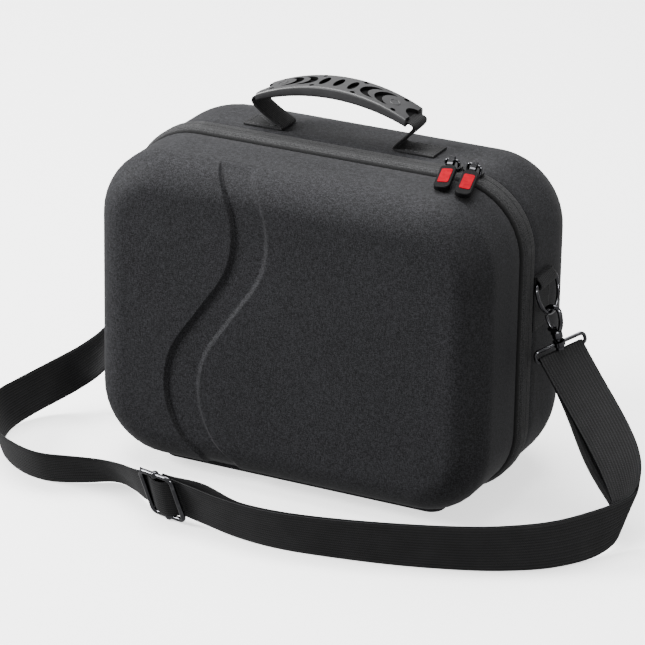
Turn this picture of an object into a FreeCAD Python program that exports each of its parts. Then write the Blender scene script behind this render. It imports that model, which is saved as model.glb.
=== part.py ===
import FreeCAD, Part
import math
import os
import Sketcher

# Hard carrying case: two moulded shells joined by a zip band, a carrying handle and a shoulder strap.
# Millimetres, +Z up, front towards -Y, origin on the floor under the middle of the case.

doc = FreeCAD.newDocument("carrying_case")

SIZES = [
    # Zip band: the outline that both shells and every zip piece follow
    ("seam_width", 276.0),
    ("seam_height", 209.0),
    ("seam_corner", 45.0),
    ("band_rise", 5.0),
    ("band_front", 11.0),
    ("band_back", 9.5),
    ("tape_thickness", 1.6),
    ("tape_crest", 4.0),
    ("tape_gap", 0.4),
    ("coil_width", 2.2),
    ("coil_height", 1.8),
    ("hinge_span_height", 8.0),
    # Shells
    ("wall", 5.0),
    ("lid_depth", 59.0),
    ("back_depth", 98.7),
    ("front_proud", 2.0),
    ("back_proud", 3.0),
    ("front_edge", 23.4),
    ("back_edge", 65.5),
    ("back_corner_share", 0.5),
    ("floor_clearance", 4.0),
    ("clearance", 0.3),
    # Feet moulded under both shells
    ("foot_length", 204.0),
    ("foot_width", 22.0),
    ("foot_corner", 10.0),
    ("foot_inset", 20.0),
    # Recessed S wave on the front
    ("wave_depth", 1.8),
    ("wave_width", 24.0),
    ("wave_radius", 62.0),
    ("wave_upper_x", -98.0),
    ("wave_upper_z", 62.5),
    ("wave_lower_x", -23.0),
    ("wave_lower_z", -46.5),
    ("wave_slope", 40.0),
    # Inside
    ("foam_set_back", 4.0),
    ("foam_back_wall", 22),
    ("bay_wall", 8.0),
    ("bay_rim", 20.0),
    ("bay_corner", 24.0),
    ("headset_bay_width", 206.0),
    ("headset_bay_height", 92),
    ("controller_bay_height", 66.0),
    ("controller_bay_depth", 62.0),
    ("pocket_depth", 38.0),
    ("pocket_height", 120.0),
    ("mesh_thickness", 0.8),
    ("binding_height", 8.0),
    ("binding_thickness", 2.4),
    # Carrying handle
    ("handle_place", 17.3),
    ("handle_shift", -4.0),
    ("webbing_width", 21.0),
    ("webbing_thickness", 1.8),
    ("pad_outer", 69.0),
    ("pad_inner", 44.0),
    ("grip_length", 108.0),
    ("grip_shift", -4.5),
    ("grip_width", 28.0),
    ("grip_end_lift", 19.0),
    ("grip_arch", 10.3),
    ("grip_end_depth", 5.6),
    ("grip_mid_depth", 7.4),
    ("grip_round", 1.6),
    ("window_depth", 2.4),
    ("edge_hole", 3.4),
    # Side rings
    ("ring_tab_width", 25),
    ("ring_tab_height", 5.5),
    ("ring_place", 12.7),
    ("ring_lift", 36.5),
    ("ring_wire", 2.6),
    ("ring_width", 32.0),
    ("ring_drop", 21.5),
    ("ring_lean", 15),
    ("hook_lean", 15),
    # Swivel snap hooks
    ("claw_radius", 5.0),
    ("claw_reach", 12.6),
    ("claw_wire", 3.2),
    ("barrel_radius", 3.5),
    ("barrel_height", 5.1),
    ("post_radius", 1.6),
    ("gate_pin_radius", 0.6),
    ("loop_inside", 34.0),
    ("loop_drop", 7.5),
    ("loop_wire", 2.5),
    ("loop_turn", 50.0),
    ("loop_tilt", 16.0),
    ("eye_thickness", 3.2),
    # Zip sliders and pulls
    ("slider_length", 13),
    ("slider_width", 9.0),
    ("slider_plate", 2.0),
    ("left_slider_gap", 7.0),
    ("right_slider_angle", 9.0),
    ("crown_wire", 2.0),
    ("crown_gap", 2.7),
    ("link_wall", 1.0),
    ("link_width", 3.4),
    ("link_reach", 7.5),
    ("pull_length", 29.0),
    ("pull_width", 10.5),
    ("pull_thickness", 3.6),
    ("pull_dip", 10),
    ("pull_slant", 13.0),
    ("badge_length", 17.0),
    ("badge_width", 7.0),
    ("badge_thickness", 0.4),
    # Shoulder strap
    ("strap_width", 32.0),
    ("strap_thickness", 1.6),
    ("strap_layers", 2.0),
    ("adjuster_length", 26),
    ("adjuster_wire", 3.4),
    ("adjuster_knob", 5.6),
]

sheet = doc.addObject("Spreadsheet::Sheet", "sizes")
for row, (alias, number) in enumerate(SIZES, start=1):
    sheet.set("A%d" % row, alias)
    sheet.set("B%d" % row, repr(number))
    sheet.setAlias("B%d" % row, alias)
doc.recompute()


def size(alias):
    """Read one driving dimension from the sheet."""
    return float(sheet.get(alias))


# Places along the depth and the height, as expressions of the sheet
CENTRE = "(sizes.seam_height / 2 + sizes.band_rise + sizes.floor_clearance)"
TOTAL = "(sizes.lid_depth + sizes.band_front + sizes.band_back + sizes.back_depth)"
FRONT_FACE = "(-%s / 2)" % TOTAL
FRONT_RIM = "(%s + sizes.lid_depth)" % FRONT_FACE
SEAM = "(%s + sizes.band_front)" % FRONT_RIM
BACK_RIM = "(%s + sizes.band_back)" % SEAM
BACK_FACE = "(%s / 2)" % TOTAL
BACK_TOP = "(%s + sizes.seam_height / 2 + sizes.back_proud)" % CENTRE
SIDE = "(sizes.seam_width / 2 + sizes.back_proud)"
CREST = "(%s + sizes.seam_height / 2 + sizes.band_rise)" % CENTRE
TURNS = [0, 18, 36, 54, 72, 90]


def worth(expression):
    """Work an expression of the sheet out to a number."""
    return float(sheet.evalExpression(expression))


def solid(name, shape):
    """Put a shape made here into the document under its own name."""
    node = doc.addObject("Part::Feature", name)
    node.Label = name
    node.Shape = shape
    return node


def plane_of(body, role):
    """Find one of a body's own origin planes."""
    return [plane for plane in body.Origin.OriginFeatures if plane.Role == role][0]


def sketch_on(body, name, role, offset="0", lift="0"):
    """Start a sketch on an origin plane, moved along the plane's normal and its upward side."""
    sketch = body.newObject("Sketcher::SketchObject", name)
    sketch.AttachmentSupport = [(plane_of(body, role), "")]
    sketch.MapMode = "FlatFace"
    sketch.setExpression(".AttachmentOffset.Base.z", offset)
    sketch.setExpression(".AttachmentOffset.Base.y", lift)
    return sketch


def rounded_rectangle(sketch, width, height, corner):
    """Draw a rounded rectangle about the sketch's origin, its sizes bound to expressions."""
    w = worth(width) / 2
    h = worth(height) / 2
    r = worth(corner)
    point = FreeCAD.Vector
    normal = point(0, 0, 1)
    sides = [
        (point(-w + r, h), point(w - r, h)),
        (point(w, h - r), point(w, -h + r)),
        (point(w - r, -h), point(-w + r, -h)),
        (point(-w, -h + r), point(-w, h - r)),
    ]
    for start, end in sides:
        sketch.addGeometry(Part.LineSegment(start, end))
    centres = [(w - r, h - r, 0), (w - r, r - h, -90), (r - w, r - h, 180), (r - w, h - r, 90)]
    for x, y, turn in centres:
        circle = Part.Circle(point(x, y), normal, r)
        start = math.radians(turn)
        sketch.addGeometry(Part.ArcOfCircle(circle, start, start + math.pi / 2))
    for side in range(4):
        sketch.addConstraint(Sketcher.Constraint("Tangent", side, 2, 4 + side, 2))
        sketch.addConstraint(Sketcher.Constraint("Tangent", 4 + side, 1, (side + 1) % 4, 1))
    for side, kind in enumerate(["Horizontal", "Vertical", "Horizontal", "Vertical"]):
        sketch.addConstraint(Sketcher.Constraint(kind, side))
    for arc in range(5, 8):
        sketch.addConstraint(Sketcher.Constraint("Equal", 4, arc))
    bound = [
        (Sketcher.Constraint("Radius", 4, r), corner),
        (Sketcher.Constraint("DistanceX", -1, 1, 1, 1, w), "(%s) / 2" % width),
        (Sketcher.Constraint("DistanceX", 3, 1, -1, 1, w), "(%s) / 2" % width),
        (Sketcher.Constraint("DistanceY", -1, 1, 0, 1, h), "(%s) / 2" % height),
        (Sketcher.Constraint("DistanceY", 2, 1, -1, 1, h), "(%s) / 2" % height),
    ]
    for constraint, expression in bound:
        index = sketch.addConstraint(constraint)
        sketch.setExpression("Constraints[%d]" % index, expression)


def outline(body, name, proud, place):
    """Sketch the seam outline, moved outwards by an expression, across the depth at a place."""
    sketch = sketch_on(body, name, "XZ_Plane", "-%s" % place, CENTRE)
    rounded_rectangle(
        sketch,
        "sizes.seam_width + 2 * (%s)" % proud,
        "sizes.seam_height + 2 * (%s)" % proud,
        "sizes.seam_corner + (%s)" % proud,
    )
    return sketch


def edges_at(feature, place):
    """Name the edges of a feature that lie wholly in the plane y = place."""
    names = []
    for index, edge in enumerate(feature.Shape.Edges, start=1):
        box = edge.BoundBox
        if abs(box.YMin - place) < 1e-3 and abs(box.YMax - place) < 1e-3:
            names.append("Edge%d" % index)
    return names


def fillet(body, name, feature, place, radius):
    """Round the edges that lie at one depth."""
    doc.recompute()
    feature_edges = edges_at(feature, place)
    rounding = body.newObject("PartDesign::Fillet", name)
    rounding.Base = (feature, feature_edges)
    rounding.setExpression("Radius", radius)
    return rounding


def add_foot(body, name, middle, top):
    """Pad a moulded foot from the floor up into a shell's bottom wall."""
    foot = sketch_on(body, name + "_outline", "XY_Plane", "0", middle)
    rounded_rectangle(foot, "sizes.foot_length", "sizes.foot_width", "sizes.foot_corner")
    pad = body.newObject("PartDesign::Pad", name)
    pad.Profile = foot
    pad.setExpression("Length", top)
    return pad


def wave_points():
    """Corners of one S line, from the top down, with the middle of each bend."""
    r = size("wave_radius")
    upper = FreeCAD.Vector(size("wave_upper_x"), size("wave_upper_z"))
    lower = FreeCAD.Vector(size("wave_lower_x"), size("wave_lower_z"))
    across = lower - upper
    lean = math.atan2(across.y, across.x) + math.acos(2 * r / across.Length)
    reach = size("seam_height") / 2 + size("front_proud")
    top_turn = math.asin(min(0.97, (reach - upper.y) / r))
    bottom_turn = math.asin(min(0.97, (reach + lower.y) / r))

    def on_upper(turn):
        return upper + FreeCAD.Vector(math.cos(turn), math.sin(turn)) * r

    def on_lower(turn):
        return lower + FreeCAD.Vector(-math.cos(turn), -math.sin(turn)) * r

    top = [on_upper(top_turn), on_upper((top_turn + lean) / 2), on_upper(lean)]
    bottom = [on_lower(lean), on_lower((bottom_turn + lean) / 2), on_lower(bottom_turn)]
    return top, bottom


def cut_wave(body):
    """Sink the S wave into the front: two like bends and a straight stretch on each side."""
    wave = sketch_on(body, "wave_outline", "XZ_Plane", "-%s" % FRONT_FACE, CENTRE)
    top, bottom = wave_points()
    over = FreeCAD.Vector(0, size("front_edge"))
    step = FreeCAD.Vector(size("wave_width"), 0)
    for shift in (FreeCAD.Vector(), step):
        wave.addGeometry(Part.LineSegment(top[0] + shift + over, top[0] + shift))
        wave.addGeometry(Part.Arc(*[corner + shift for corner in top]))
        wave.addGeometry(Part.LineSegment(top[2] + shift, bottom[0] + shift))
        wave.addGeometry(Part.Arc(*[corner + shift for corner in bottom]))
        wave.addGeometry(Part.LineSegment(bottom[2] + shift, bottom[2] + shift - over))
    wave.addGeometry(Part.LineSegment(top[0] + over, top[0] + over + step))
    wave.addGeometry(Part.LineSegment(bottom[2] - over, bottom[2] - over + step))
    cut = body.newObject("PartDesign::Pocket", "wave")
    cut.Profile = wave
    cut.setExpression("Length", "sizes.wave_depth")
    cut.setExpression("TaperAngle", "-sizes.wave_slope")
    return cut


def shell_from(name, form, hollow):
    """Cut one form out of another to leave a moulded wall."""
    shell = doc.addObject("Part::Cut", name)
    shell.Label = name
    shell.Base = form
    shell.Tool = hollow
    return shell


def lid_form(name, proud, depth, rounding):
    """Pad the seam outline forward from the rim and round its front edge."""
    body = doc.addObject("PartDesign::Body", name)
    rim = outline(body, name + "_rim", proud, FRONT_RIM)
    block = body.newObject("PartDesign::Pad", name + "_block")
    block.Profile = rim
    block.setExpression("Length", depth)
    fillet(body, name + "_rounding", block, worth("%s - (%s)" % (FRONT_RIM, depth)), rounding)
    return body


def front_shell():
    """Lid shell: a rounded form with the S wave and a foot, hollowed from the rim."""
    form = lid_form("lid_form", "sizes.front_proud", "sizes.lid_depth", "sizes.front_edge")
    foot_top = "%s - sizes.seam_height / 2 - sizes.front_proud + sizes.wall / 2" % CENTRE
    foot_middle = "%s - sizes.foot_inset - sizes.foot_width / 2" % SEAM
    add_foot(form, "front_foot", foot_middle, foot_top)
    cut_wave(form)
    hollow = lid_form("lid_hollow", "sizes.front_proud - sizes.wall", "sizes.lid_depth - sizes.wall",
                      "sizes.front_edge - sizes.wall")
    return shell_from("front_shell", form, hollow), hollow


def pillow(body, name, inset):
    """Loft a shell form that runs straight from the rim and then closes in a soft back."""
    flat = outline(body, name + "_rim", "sizes.back_proud - (%s)" % inset, BACK_RIM)
    straight = body.newObject("PartDesign::Pad", name + "_straight")
    straight.Profile = flat
    straight.Reversed = True
    straight.setExpression("Length", "sizes.back_depth - sizes.back_edge")
    sections = []
    for turn in TURNS:
        radius = "(sizes.back_edge - (%s))" % inset
        close = "(%s * (1 - cos(%d deg)))" % (radius, turn)
        place = "(%s - sizes.back_edge + %s * sin(%d deg))" % (BACK_FACE, radius, turn)
        section = sketch_on(body, "%s_section_%d" % (name, turn), "XZ_Plane", "-%s" % place, CENTRE)
        proud = "(sizes.back_proud - (%s) - %s)" % (inset, close)
        rounded_rectangle(
            section,
            "sizes.seam_width + 2 * %s" % proud,
            "sizes.seam_height + 2 * %s" % proud,
            "sizes.seam_corner + sizes.back_proud - (%s) - %s * sizes.back_corner_share" % (inset, close),
        )
        sections.append(section)
    back = body.newObject("PartDesign::AdditiveLoft", name + "_back")
    back.Profile = sections[0]
    back.Sections = sections[1:]
    return back


def back_shell():
    """Deep shell: the pillow form, hollowed by a smaller one, on a foot."""
    outer = doc.addObject("PartDesign::Body", "back_form")
    pillow(outer, "outer", "0")
    foot_top = "%s - sizes.seam_height / 2 - sizes.back_proud + sizes.wall / 2" % CENTRE
    foot_middle = "%s + sizes.foot_inset + sizes.foot_width / 2" % SEAM
    add_foot(outer, "back_foot", foot_middle, foot_top)
    inner = doc.addObject("PartDesign::Body", "back_hollow")
    pillow(inner, "inner", "sizes.wall")
    return shell_from("back_shell", outer, inner), inner


def rounded_path(points, radii):
    """Join straight runs by tangent arcs, one radius for each inner point."""
    edges = []
    start = points[0]
    for before, corner, after, radius in zip(points, points[1:], points[2:], radii):
        arrive = (corner - before).normalize()
        leave = (after - corner).normalize()
        turn = arrive.getAngle(leave)
        cut = radius * math.tan(turn / 2)
        middle = (leave - arrive).normalize()
        centre = corner + middle * (radius / math.cos(turn / 2))
        first = corner - arrive * cut
        last = corner + leave * cut
        edges.append(Part.makeLine(start, first))
        edges.append(Part.Arc(first, centre - middle * radius, last).toShape())
        start = last
    edges.append(Part.makeLine(start, points[-1]))
    return Part.Wire(edges)


def rod(path, radius):
    """Run a round wire along a path."""
    edge = path.Edges[0]
    start = edge.valueAt(edge.FirstParameter)
    along = edge.tangentAt(edge.FirstParameter)
    section = Part.Wire(Part.makeCircle(radius, start, along))
    return path.makePipeShell([section], True, False)


def point(x, y, z):
    """Short form for a place."""
    return FreeCAD.Vector(x, y, z)


# Zip band


def seam_path():
    """The closed seam outline at the teeth line, from the middle of the top."""
    half = size("seam_width") / 2
    tall = size("seam_height") / 2
    middle = worth(CENTRE)
    depth = worth(SEAM)
    corners = [(0, tall), (half, tall), (half, -tall), (-half, -tall), (-half, tall), (0, tall)]
    places = [point(x, depth, middle + z) for x, z in corners]
    return rounded_path(places, [size("seam_corner")] * 4)


def swept_band(section):
    """Sweep a section, given at the middle of the top, all round the seam."""
    return seam_path().makePipeShell([section], True, False)


def dome(rim, crest):
    """Half of the band's domed section, from a shell's rim to the flat crest at the seam."""
    base = worth(CENTRE) + size("seam_height") / 2
    rise = size("band_rise")
    side = math.copysign(1, crest - rim)
    flat = crest - side * size("tape_crest")
    run = abs(flat - rim)
    radius = (run * run + rise * rise) / (2 * rise)
    half_turn = math.asin(min(1.0, run / radius)) / 2
    bend = point(0, flat - side * radius * math.sin(half_turn),
                 base + rise - radius * (1 - math.cos(half_turn)))
    low = point(0, rim, base)
    top = point(0, flat, base + rise)
    return low, bend, top


def tape_section(rim, crest):
    """Section of one zip tape: domed outside, flat under the crest, cut square at the rim."""
    low, bend, top = dome(rim, crest)
    under = point(0, 0, -size("tape_thickness"))
    end = point(0, crest, top.z)
    edges = [Part.Arc(low, bend, top).toShape(), Part.makeLine(top, end)]
    for start, finish in [(end, end + under), (end + under, top + under), (top + under, low + under),
                          (low + under, low)]:
        edges.append(Part.makeLine(start, finish))
    return Part.Wire(edges)


def coil_section(crest, side):
    """Section of one zip coil, a bead under the tape's edge."""
    high = worth(CREST) - size("tape_thickness")
    low = high - size("coil_height")
    inner = crest + side * size("coil_width")
    corners = [point(0, crest, high), point(0, crest, low), point(0, inner, low), point(0, inner, high)]
    return Part.makePolygon(corners + corners[:1])


def hinge_section():
    """Section of the fabric hinge: the whole dome in one piece, clear of the lid's rim."""
    front = dome(worth(FRONT_RIM) + size("clearance"), worth(SEAM))
    back = dome(worth(BACK_RIM), worth(SEAM))
    under = point(0, 0, -size("tape_thickness"))
    edges = [Part.Arc(*front).toShape(), Part.makeLine(front[2], back[2]),
             Part.Arc(*reversed(back)).toShape()]
    inside = [back[0], back[0] + under, back[2] + under, front[2] + under, front[0] + under, front[0]]
    for start, finish in zip(inside, inside[1:]):
        edges.append(Part.makeLine(start, finish))
    return Part.Wire(edges)


def below_hinge(gap):
    """Block that holds the stretch of the band round the fabric hinge."""
    width = size("seam_width")
    depth = worth(TOTAL)
    height = size("floor_clearance") + size("hinge_span_height") - gap
    return Part.makeBox(width, depth, height, point(-width / 2, -depth / 2, 0))


def zip_band():
    """Both tapes with their coils, open at the bottom, and the fabric hinge that closes the gap there."""
    gap = size("tape_gap") / 2
    seam = worth(SEAM)
    bottom = below_hinge(0)
    sections = [
        ("zipper_tape_front", tape_section(worth(FRONT_RIM), seam - gap)),
        ("zipper_tape_back", tape_section(worth(BACK_RIM), seam + gap)),
        ("zipper_coil_front", coil_section(seam - gap, -1)),
        ("zipper_coil_back", coil_section(seam + gap, 1)),
    ]
    nodes = [solid(name, swept_band(section).cut(bottom)) for name, section in sections]
    strip = swept_band(hinge_section()).common(below_hinge(size("clearance")))
    return nodes + [solid("hinge_strip", strip)]


# Inside


def foam_insert():
    """Foam that fills the deep shell, with one bay for the headset over two for the controllers."""
    half = size("seam_width") / 2 + size("back_proud") - size("wall")
    tall = size("seam_height") / 2 + size("back_proud") - size("wall")
    front = worth(BACK_RIM) + size("foam_set_back")
    deep = worth(BACK_FACE) - size("wall") - size("foam_back_wall")
    middle = worth(CENTRE)
    wall = size("bay_wall")
    block = doc.addObject("Part::Box", "foam_block")
    block.setExpression("Length", "sizes.seam_width")
    block.setExpression("Width", "sizes.back_depth - sizes.foam_set_back")
    block.setExpression("Height", "sizes.seam_height")
    block.setExpression(".Placement.Base.x", "-sizes.seam_width / 2")
    block.setExpression(".Placement.Base.y", "%s + sizes.foam_set_back" % BACK_RIM)
    block.setExpression(".Placement.Base.z", "%s - sizes.seam_height / 2" % CENTRE)
    filling = doc.addObject("Part::Common", "foam_filling")
    filling.Base = block
    filling.Tool = back_hollow
    doc.recompute()
    bays = []
    high = size("headset_bay_width") / 2
    top = middle + tall - size("bay_rim")
    floor = top - size("headset_bay_height")
    bays.append((-high, high, floor, top, deep))
    low = floor - wall - size("controller_bay_height")
    near = front + size("controller_bay_depth")
    for side in (-1, 1):
        inner = side * wall / 2
        outer = side * (half - size("bay_rim"))
        bays.append((min(inner, outer), max(inner, outer), low, floor - wall, near))
    shape = filling.Shape
    for left, right, under, over, back in bays:
        bay = Part.makeBox(right - left, back - front, over - under, point(left, front, under))
        upright = [edge for edge in bay.Edges if abs(edge.tangentAt(edge.FirstParameter).y) > 0.9]
        shape = shape.cut(bay.makeFillet(size("bay_corner"), upright))
    return solid("foam_insert", shape)


def lid_pocket():
    """Mesh across the lower part of the lid, with a bound top edge."""
    place = worth(FRONT_FACE) + size("wall") + size("pocket_depth")
    half = size("seam_width") / 2 + size("front_proud") - size("wall")
    bottom = worth(CENTRE) - size("seam_height") / 2
    top = bottom + size("pocket_height")
    slab = Part.makeBox(2 * half, size("mesh_thickness"), top, point(-half, place, 0))
    mesh = slab.common(lid_hollow.Shape)
    thick = size("binding_thickness")
    over = place + (size("mesh_thickness") - thick) / 2
    edge = Part.makeBox(2 * half, thick, size("binding_height"), point(-half, over, top))
    return [solid("mesh_pocket", mesh), solid("pocket_binding", edge)]


# Handle


def ribbon(path, width, thickness, middle):
    """Thicken a path drawn across the depth into a flat band of webbing."""
    edge = path.makeOffset2D(thickness / 2, 0, False, False, False)
    face = Part.Face(edge)
    face.translate(point(0, middle - width / 2 - face.BoundBox.YMin, 0))
    return face.extrude(point(0, width, 0))


def handle_path():
    """Webbing route: a sewn pad, a fold, a leg up to the grip's end, through the grip and down again."""
    level = worth(BACK_TOP) + size("webbing_thickness") / 2
    lift = worth(BACK_TOP) + size("grip_end_lift") + size("grip_end_depth") / 2
    reach = size("grip_length") / 2
    fold = size("webbing_thickness")
    arch = size("grip_arch") + (size("grip_mid_depth") - size("grip_end_depth")) / 2
    side = [(size("pad_outer"), level), (size("pad_inner") - 2 * fold, level),
            (reach + 2 * fold, lift - fold), (reach * 0.45, lift + 0.8 * arch)]
    shifts = [0, 0, size("grip_shift"), size("grip_shift")]
    left = [(shift - x, z) for (x, z), shift in zip(side, shifts)]
    right = [(shift + x, z) for (x, z), shift in zip(side, shifts)]
    places = [point(x + size("handle_shift"), 0, z) for x, z in left + right[::-1]]
    bend = 1.2 * fold
    crown = 1.5 * reach
    return rounded_path(places, [bend, 2 * bend, crown, crown, 2 * bend, bend])


def arc_line(reach, end, middle):
    """Arc across the handle from end to end through its middle."""
    shift = size("handle_shift") + size("grip_shift")
    return Part.Arc(point(shift - reach, 0, end), point(shift, 0, middle), point(shift + reach, 0, end)).toShape()


def grip_block(lower, upper):
    """Pad the space between two arcs to the grip's width."""
    ends = [(lower.Vertexes[0], upper.Vertexes[0]), (lower.Vertexes[-1], upper.Vertexes[-1])]
    sides = [Part.makeLine(first.Point, last.Point) for first, last in ends]
    face = Part.Face(Part.Wire(Part.__sortEdges__([lower, upper] + sides)))
    width = size("grip_width")
    face.translate(point(0, worth(BACK_RIM) + size("handle_place") - width / 2, 0))
    return face.extrude(point(0, width, 0))


def grip_windows():
    """Upright cutters for the grip's top: ellipses, crescents, edge holes and a notch at each end for the webbing."""
    middle = worth(BACK_RIM) + size("handle_place")
    shift = size("handle_shift") + size("grip_shift")
    height = worth(BACK_TOP)
    tall = 8 * size("grip_mid_depth")
    width = size("grip_width")
    pitch = size("grip_length") / 11
    cutters = []
    for step in (-1.04, 0, 1.04):
        ellipse = Part.Ellipse(point(0, 0, 0), width * 0.27, pitch * 0.27).toShape()
        face = Part.Face(Part.Wire(ellipse))
        face.rotate(point(0, 0, 0), point(0, 0, 1), 90)
        face.translate(point(shift + step * pitch, middle, height))
        cutters.append(face.extrude(point(0, 0, tall)))
    for side in (-1, 1):
        for step in (2.55, 3.6):
            x = shift + side * step * pitch
            moon = Part.makeCylinder(width * 0.32, tall, point(x, middle, height))
            bite = Part.makeCylinder(width * 0.3, tall, point(x + side * width * 0.18, middle, height))
            cutters.append(moon.cut(bite))
        for step in (1.5, 4.48):
            for edge in (-1, 1):
                place = point(shift + side * step * pitch, middle + edge * width * 0.38, height)
                cutters.append(Part.makeCylinder(size("edge_hole") / 2, tall, place))
        end = point(shift + side * (size("grip_length") / 2 + width * 0.06), middle, height)
        cutters.append(Part.makeCylinder(width * 0.24, tall, end))
    return cutters


def carrying_handle():
    """Flat webbing sewn to the deep shell, and the arched grip that it runs through."""
    path = handle_path()
    middle = worth(BACK_RIM) + size("handle_place")
    webbing = ribbon(path, size("webbing_width"), size("webbing_thickness"), middle)
    room = 2 * size("clearance")
    reach = size("grip_length") / 2
    base = worth(BACK_TOP) + size("grip_end_lift")
    low = arc_line(reach, base, base + size("grip_arch"))
    top_end = base + size("grip_end_depth")
    top_middle = base + size("grip_arch") + size("grip_mid_depth")
    high = arc_line(reach, top_end, top_middle)
    grip = grip_block(low, high)
    long_edges = [edge for edge in grip.Edges if edge.BoundBox.XLength > reach and edge.BoundBox.YLength < 1]
    grip = grip.makeFillet(size("grip_round"), long_edges)
    channel = ribbon(path, size("webbing_width") + room, size("webbing_thickness") + room, middle)
    skin = size("window_depth")
    above = 3 * skin
    layer = grip_block(arc_line(reach, top_end - skin, top_middle - skin),
                       arc_line(reach, top_end + above, top_middle + above))
    for cutter in grip_windows():
        grip = grip.cut(cutter.common(layer))
    grip = grip.cut(channel)
    return [solid("handle_webbing", webbing), solid("handle_grip", grip)]


# Side rings and snap hooks, built on the right and mirrored to the left


def ring_bar():
    """Middle of a ring's straight bar, on the right side."""
    return point(worth(SIDE) + size("ring_wire") / 2 + 1.8, worth(BACK_RIM) + size("ring_place"),
                 worth(CENTRE) + size("ring_lift"))


def ring_tab():
    """Folded webbing tab sewn to the side, with the ring's bar through its loop."""
    bar = ring_bar()
    side = worth(SIDE)
    width = size("ring_tab_width")
    outer = bar.x - side
    loop = Part.makeCylinder(outer, width, point(bar.x, bar.y - width / 2, bar.z), point(0, 1, 0))
    leaf = Part.makeBox(2 * outer, width, size("ring_tab_height"), point(side, bar.y - width / 2, bar.z))
    flat = Part.makeBox(outer, width, outer, point(side, bar.y - width / 2, bar.z - outer))
    bore = Part.makeCylinder(size("ring_wire") / 2 + size("clearance"), width,
                             point(bar.x, bar.y - width / 2, bar.z), point(0, 1, 0))
    shape = loop.fuse([leaf, flat]).cut(bore).removeSplitter()
    return shape


def d_ring():
    """D-shaped ring of round wire, leaning out as the hook holds it."""
    half = size("ring_width") / 2
    drop = size("ring_drop")
    bar = ring_bar()
    straight = drop - half
    corner = half - size("ring_tab_width") / 2 - size("clearance")
    left = point(0, -half + corner, 0)
    right = point(0, half - corner, 0)
    turn = corner * (1 - math.sqrt(0.5))
    edges = [
        Part.makeLine(left, right),
        Part.Arc(right, point(0, half - turn, -turn), point(0, half, -corner)).toShape(),
        Part.makeLine(point(0, half, -corner), point(0, half, -straight)),
        Part.Arc(point(0, half, -straight), point(0, 0, -drop), point(0, -half, -straight)).toShape(),
        Part.makeLine(point(0, -half, -straight), point(0, -half, -corner)),
        Part.Arc(point(0, -half, -corner), point(0, turn - half, -turn), left).toShape(),
    ]
    ring = rod(Part.Wire(edges), size("ring_wire") / 2)
    ring.rotate(point(0, 0, 0), point(0, 1, 0), -size("ring_lean"))
    ring.translate(bar)
    return ring


def ring_low():
    """Lowest point of a ring's middle line."""
    lean = math.radians(size("ring_lean"))
    return ring_bar() + point(math.sin(lean), 0, -math.cos(lean)) * size("ring_drop")


def claw_centre():
    """Middle of the snap hook's claw, hung straight down from the lowest point of the ring."""
    low = ring_low()
    rise = size("ring_wire") / 2 + size("clearance") + size("claw_wire") / 2 - size("claw_radius")
    return low + point(0, 0, rise)


def leaning(shape):
    """Lean a hook piece out about the lowest point of the ring."""
    shape.rotate(ring_low(), point(0, 1, 0), -size("hook_lean"))
    return shape


def on_claw(degrees):
    """A place on the claw's egg-shaped middle line, from the outer side counter to the clock."""
    turn = math.radians(degrees)
    across = size("claw_radius") * math.cos(turn)
    reach = size("claw_radius") if math.sin(turn) > 0 else size("claw_reach")
    return claw_centre() + point(across, 0, reach * math.sin(turn))


def claw_line():
    """Middle line of the claw, from its foot over the top to its end."""
    line = Part.BSplineCurve()
    turns = [CLAW_FOOT + (CLAW_END - CLAW_FOOT) * step / CLAW_STEPS for step in range(CLAW_STEPS + 1)]
    line.interpolate([on_claw(turn) for turn in turns])
    return Part.Wire(line.toShape())


CLAW_FOOT = -95
CLAW_END = 158
GATE_TIP = 183
GATE_ROOT = 228
CLAW_STEPS = 24


def barrel_top():
    """Level where the claw stands on its barrel."""
    return claw_centre().z - size("claw_reach") + size("claw_wire") / 4


def eye_centre():
    """Middle of the swivel eye, under the barrel, with room to tilt."""
    play = size("barrel_radius") * math.tan(math.radians(size("loop_tilt"))) + size("clearance")
    under = barrel_top() - size("barrel_height") - play - size("eye_thickness") / 2
    return point(claw_centre().x, claw_centre().y, under), play


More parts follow.
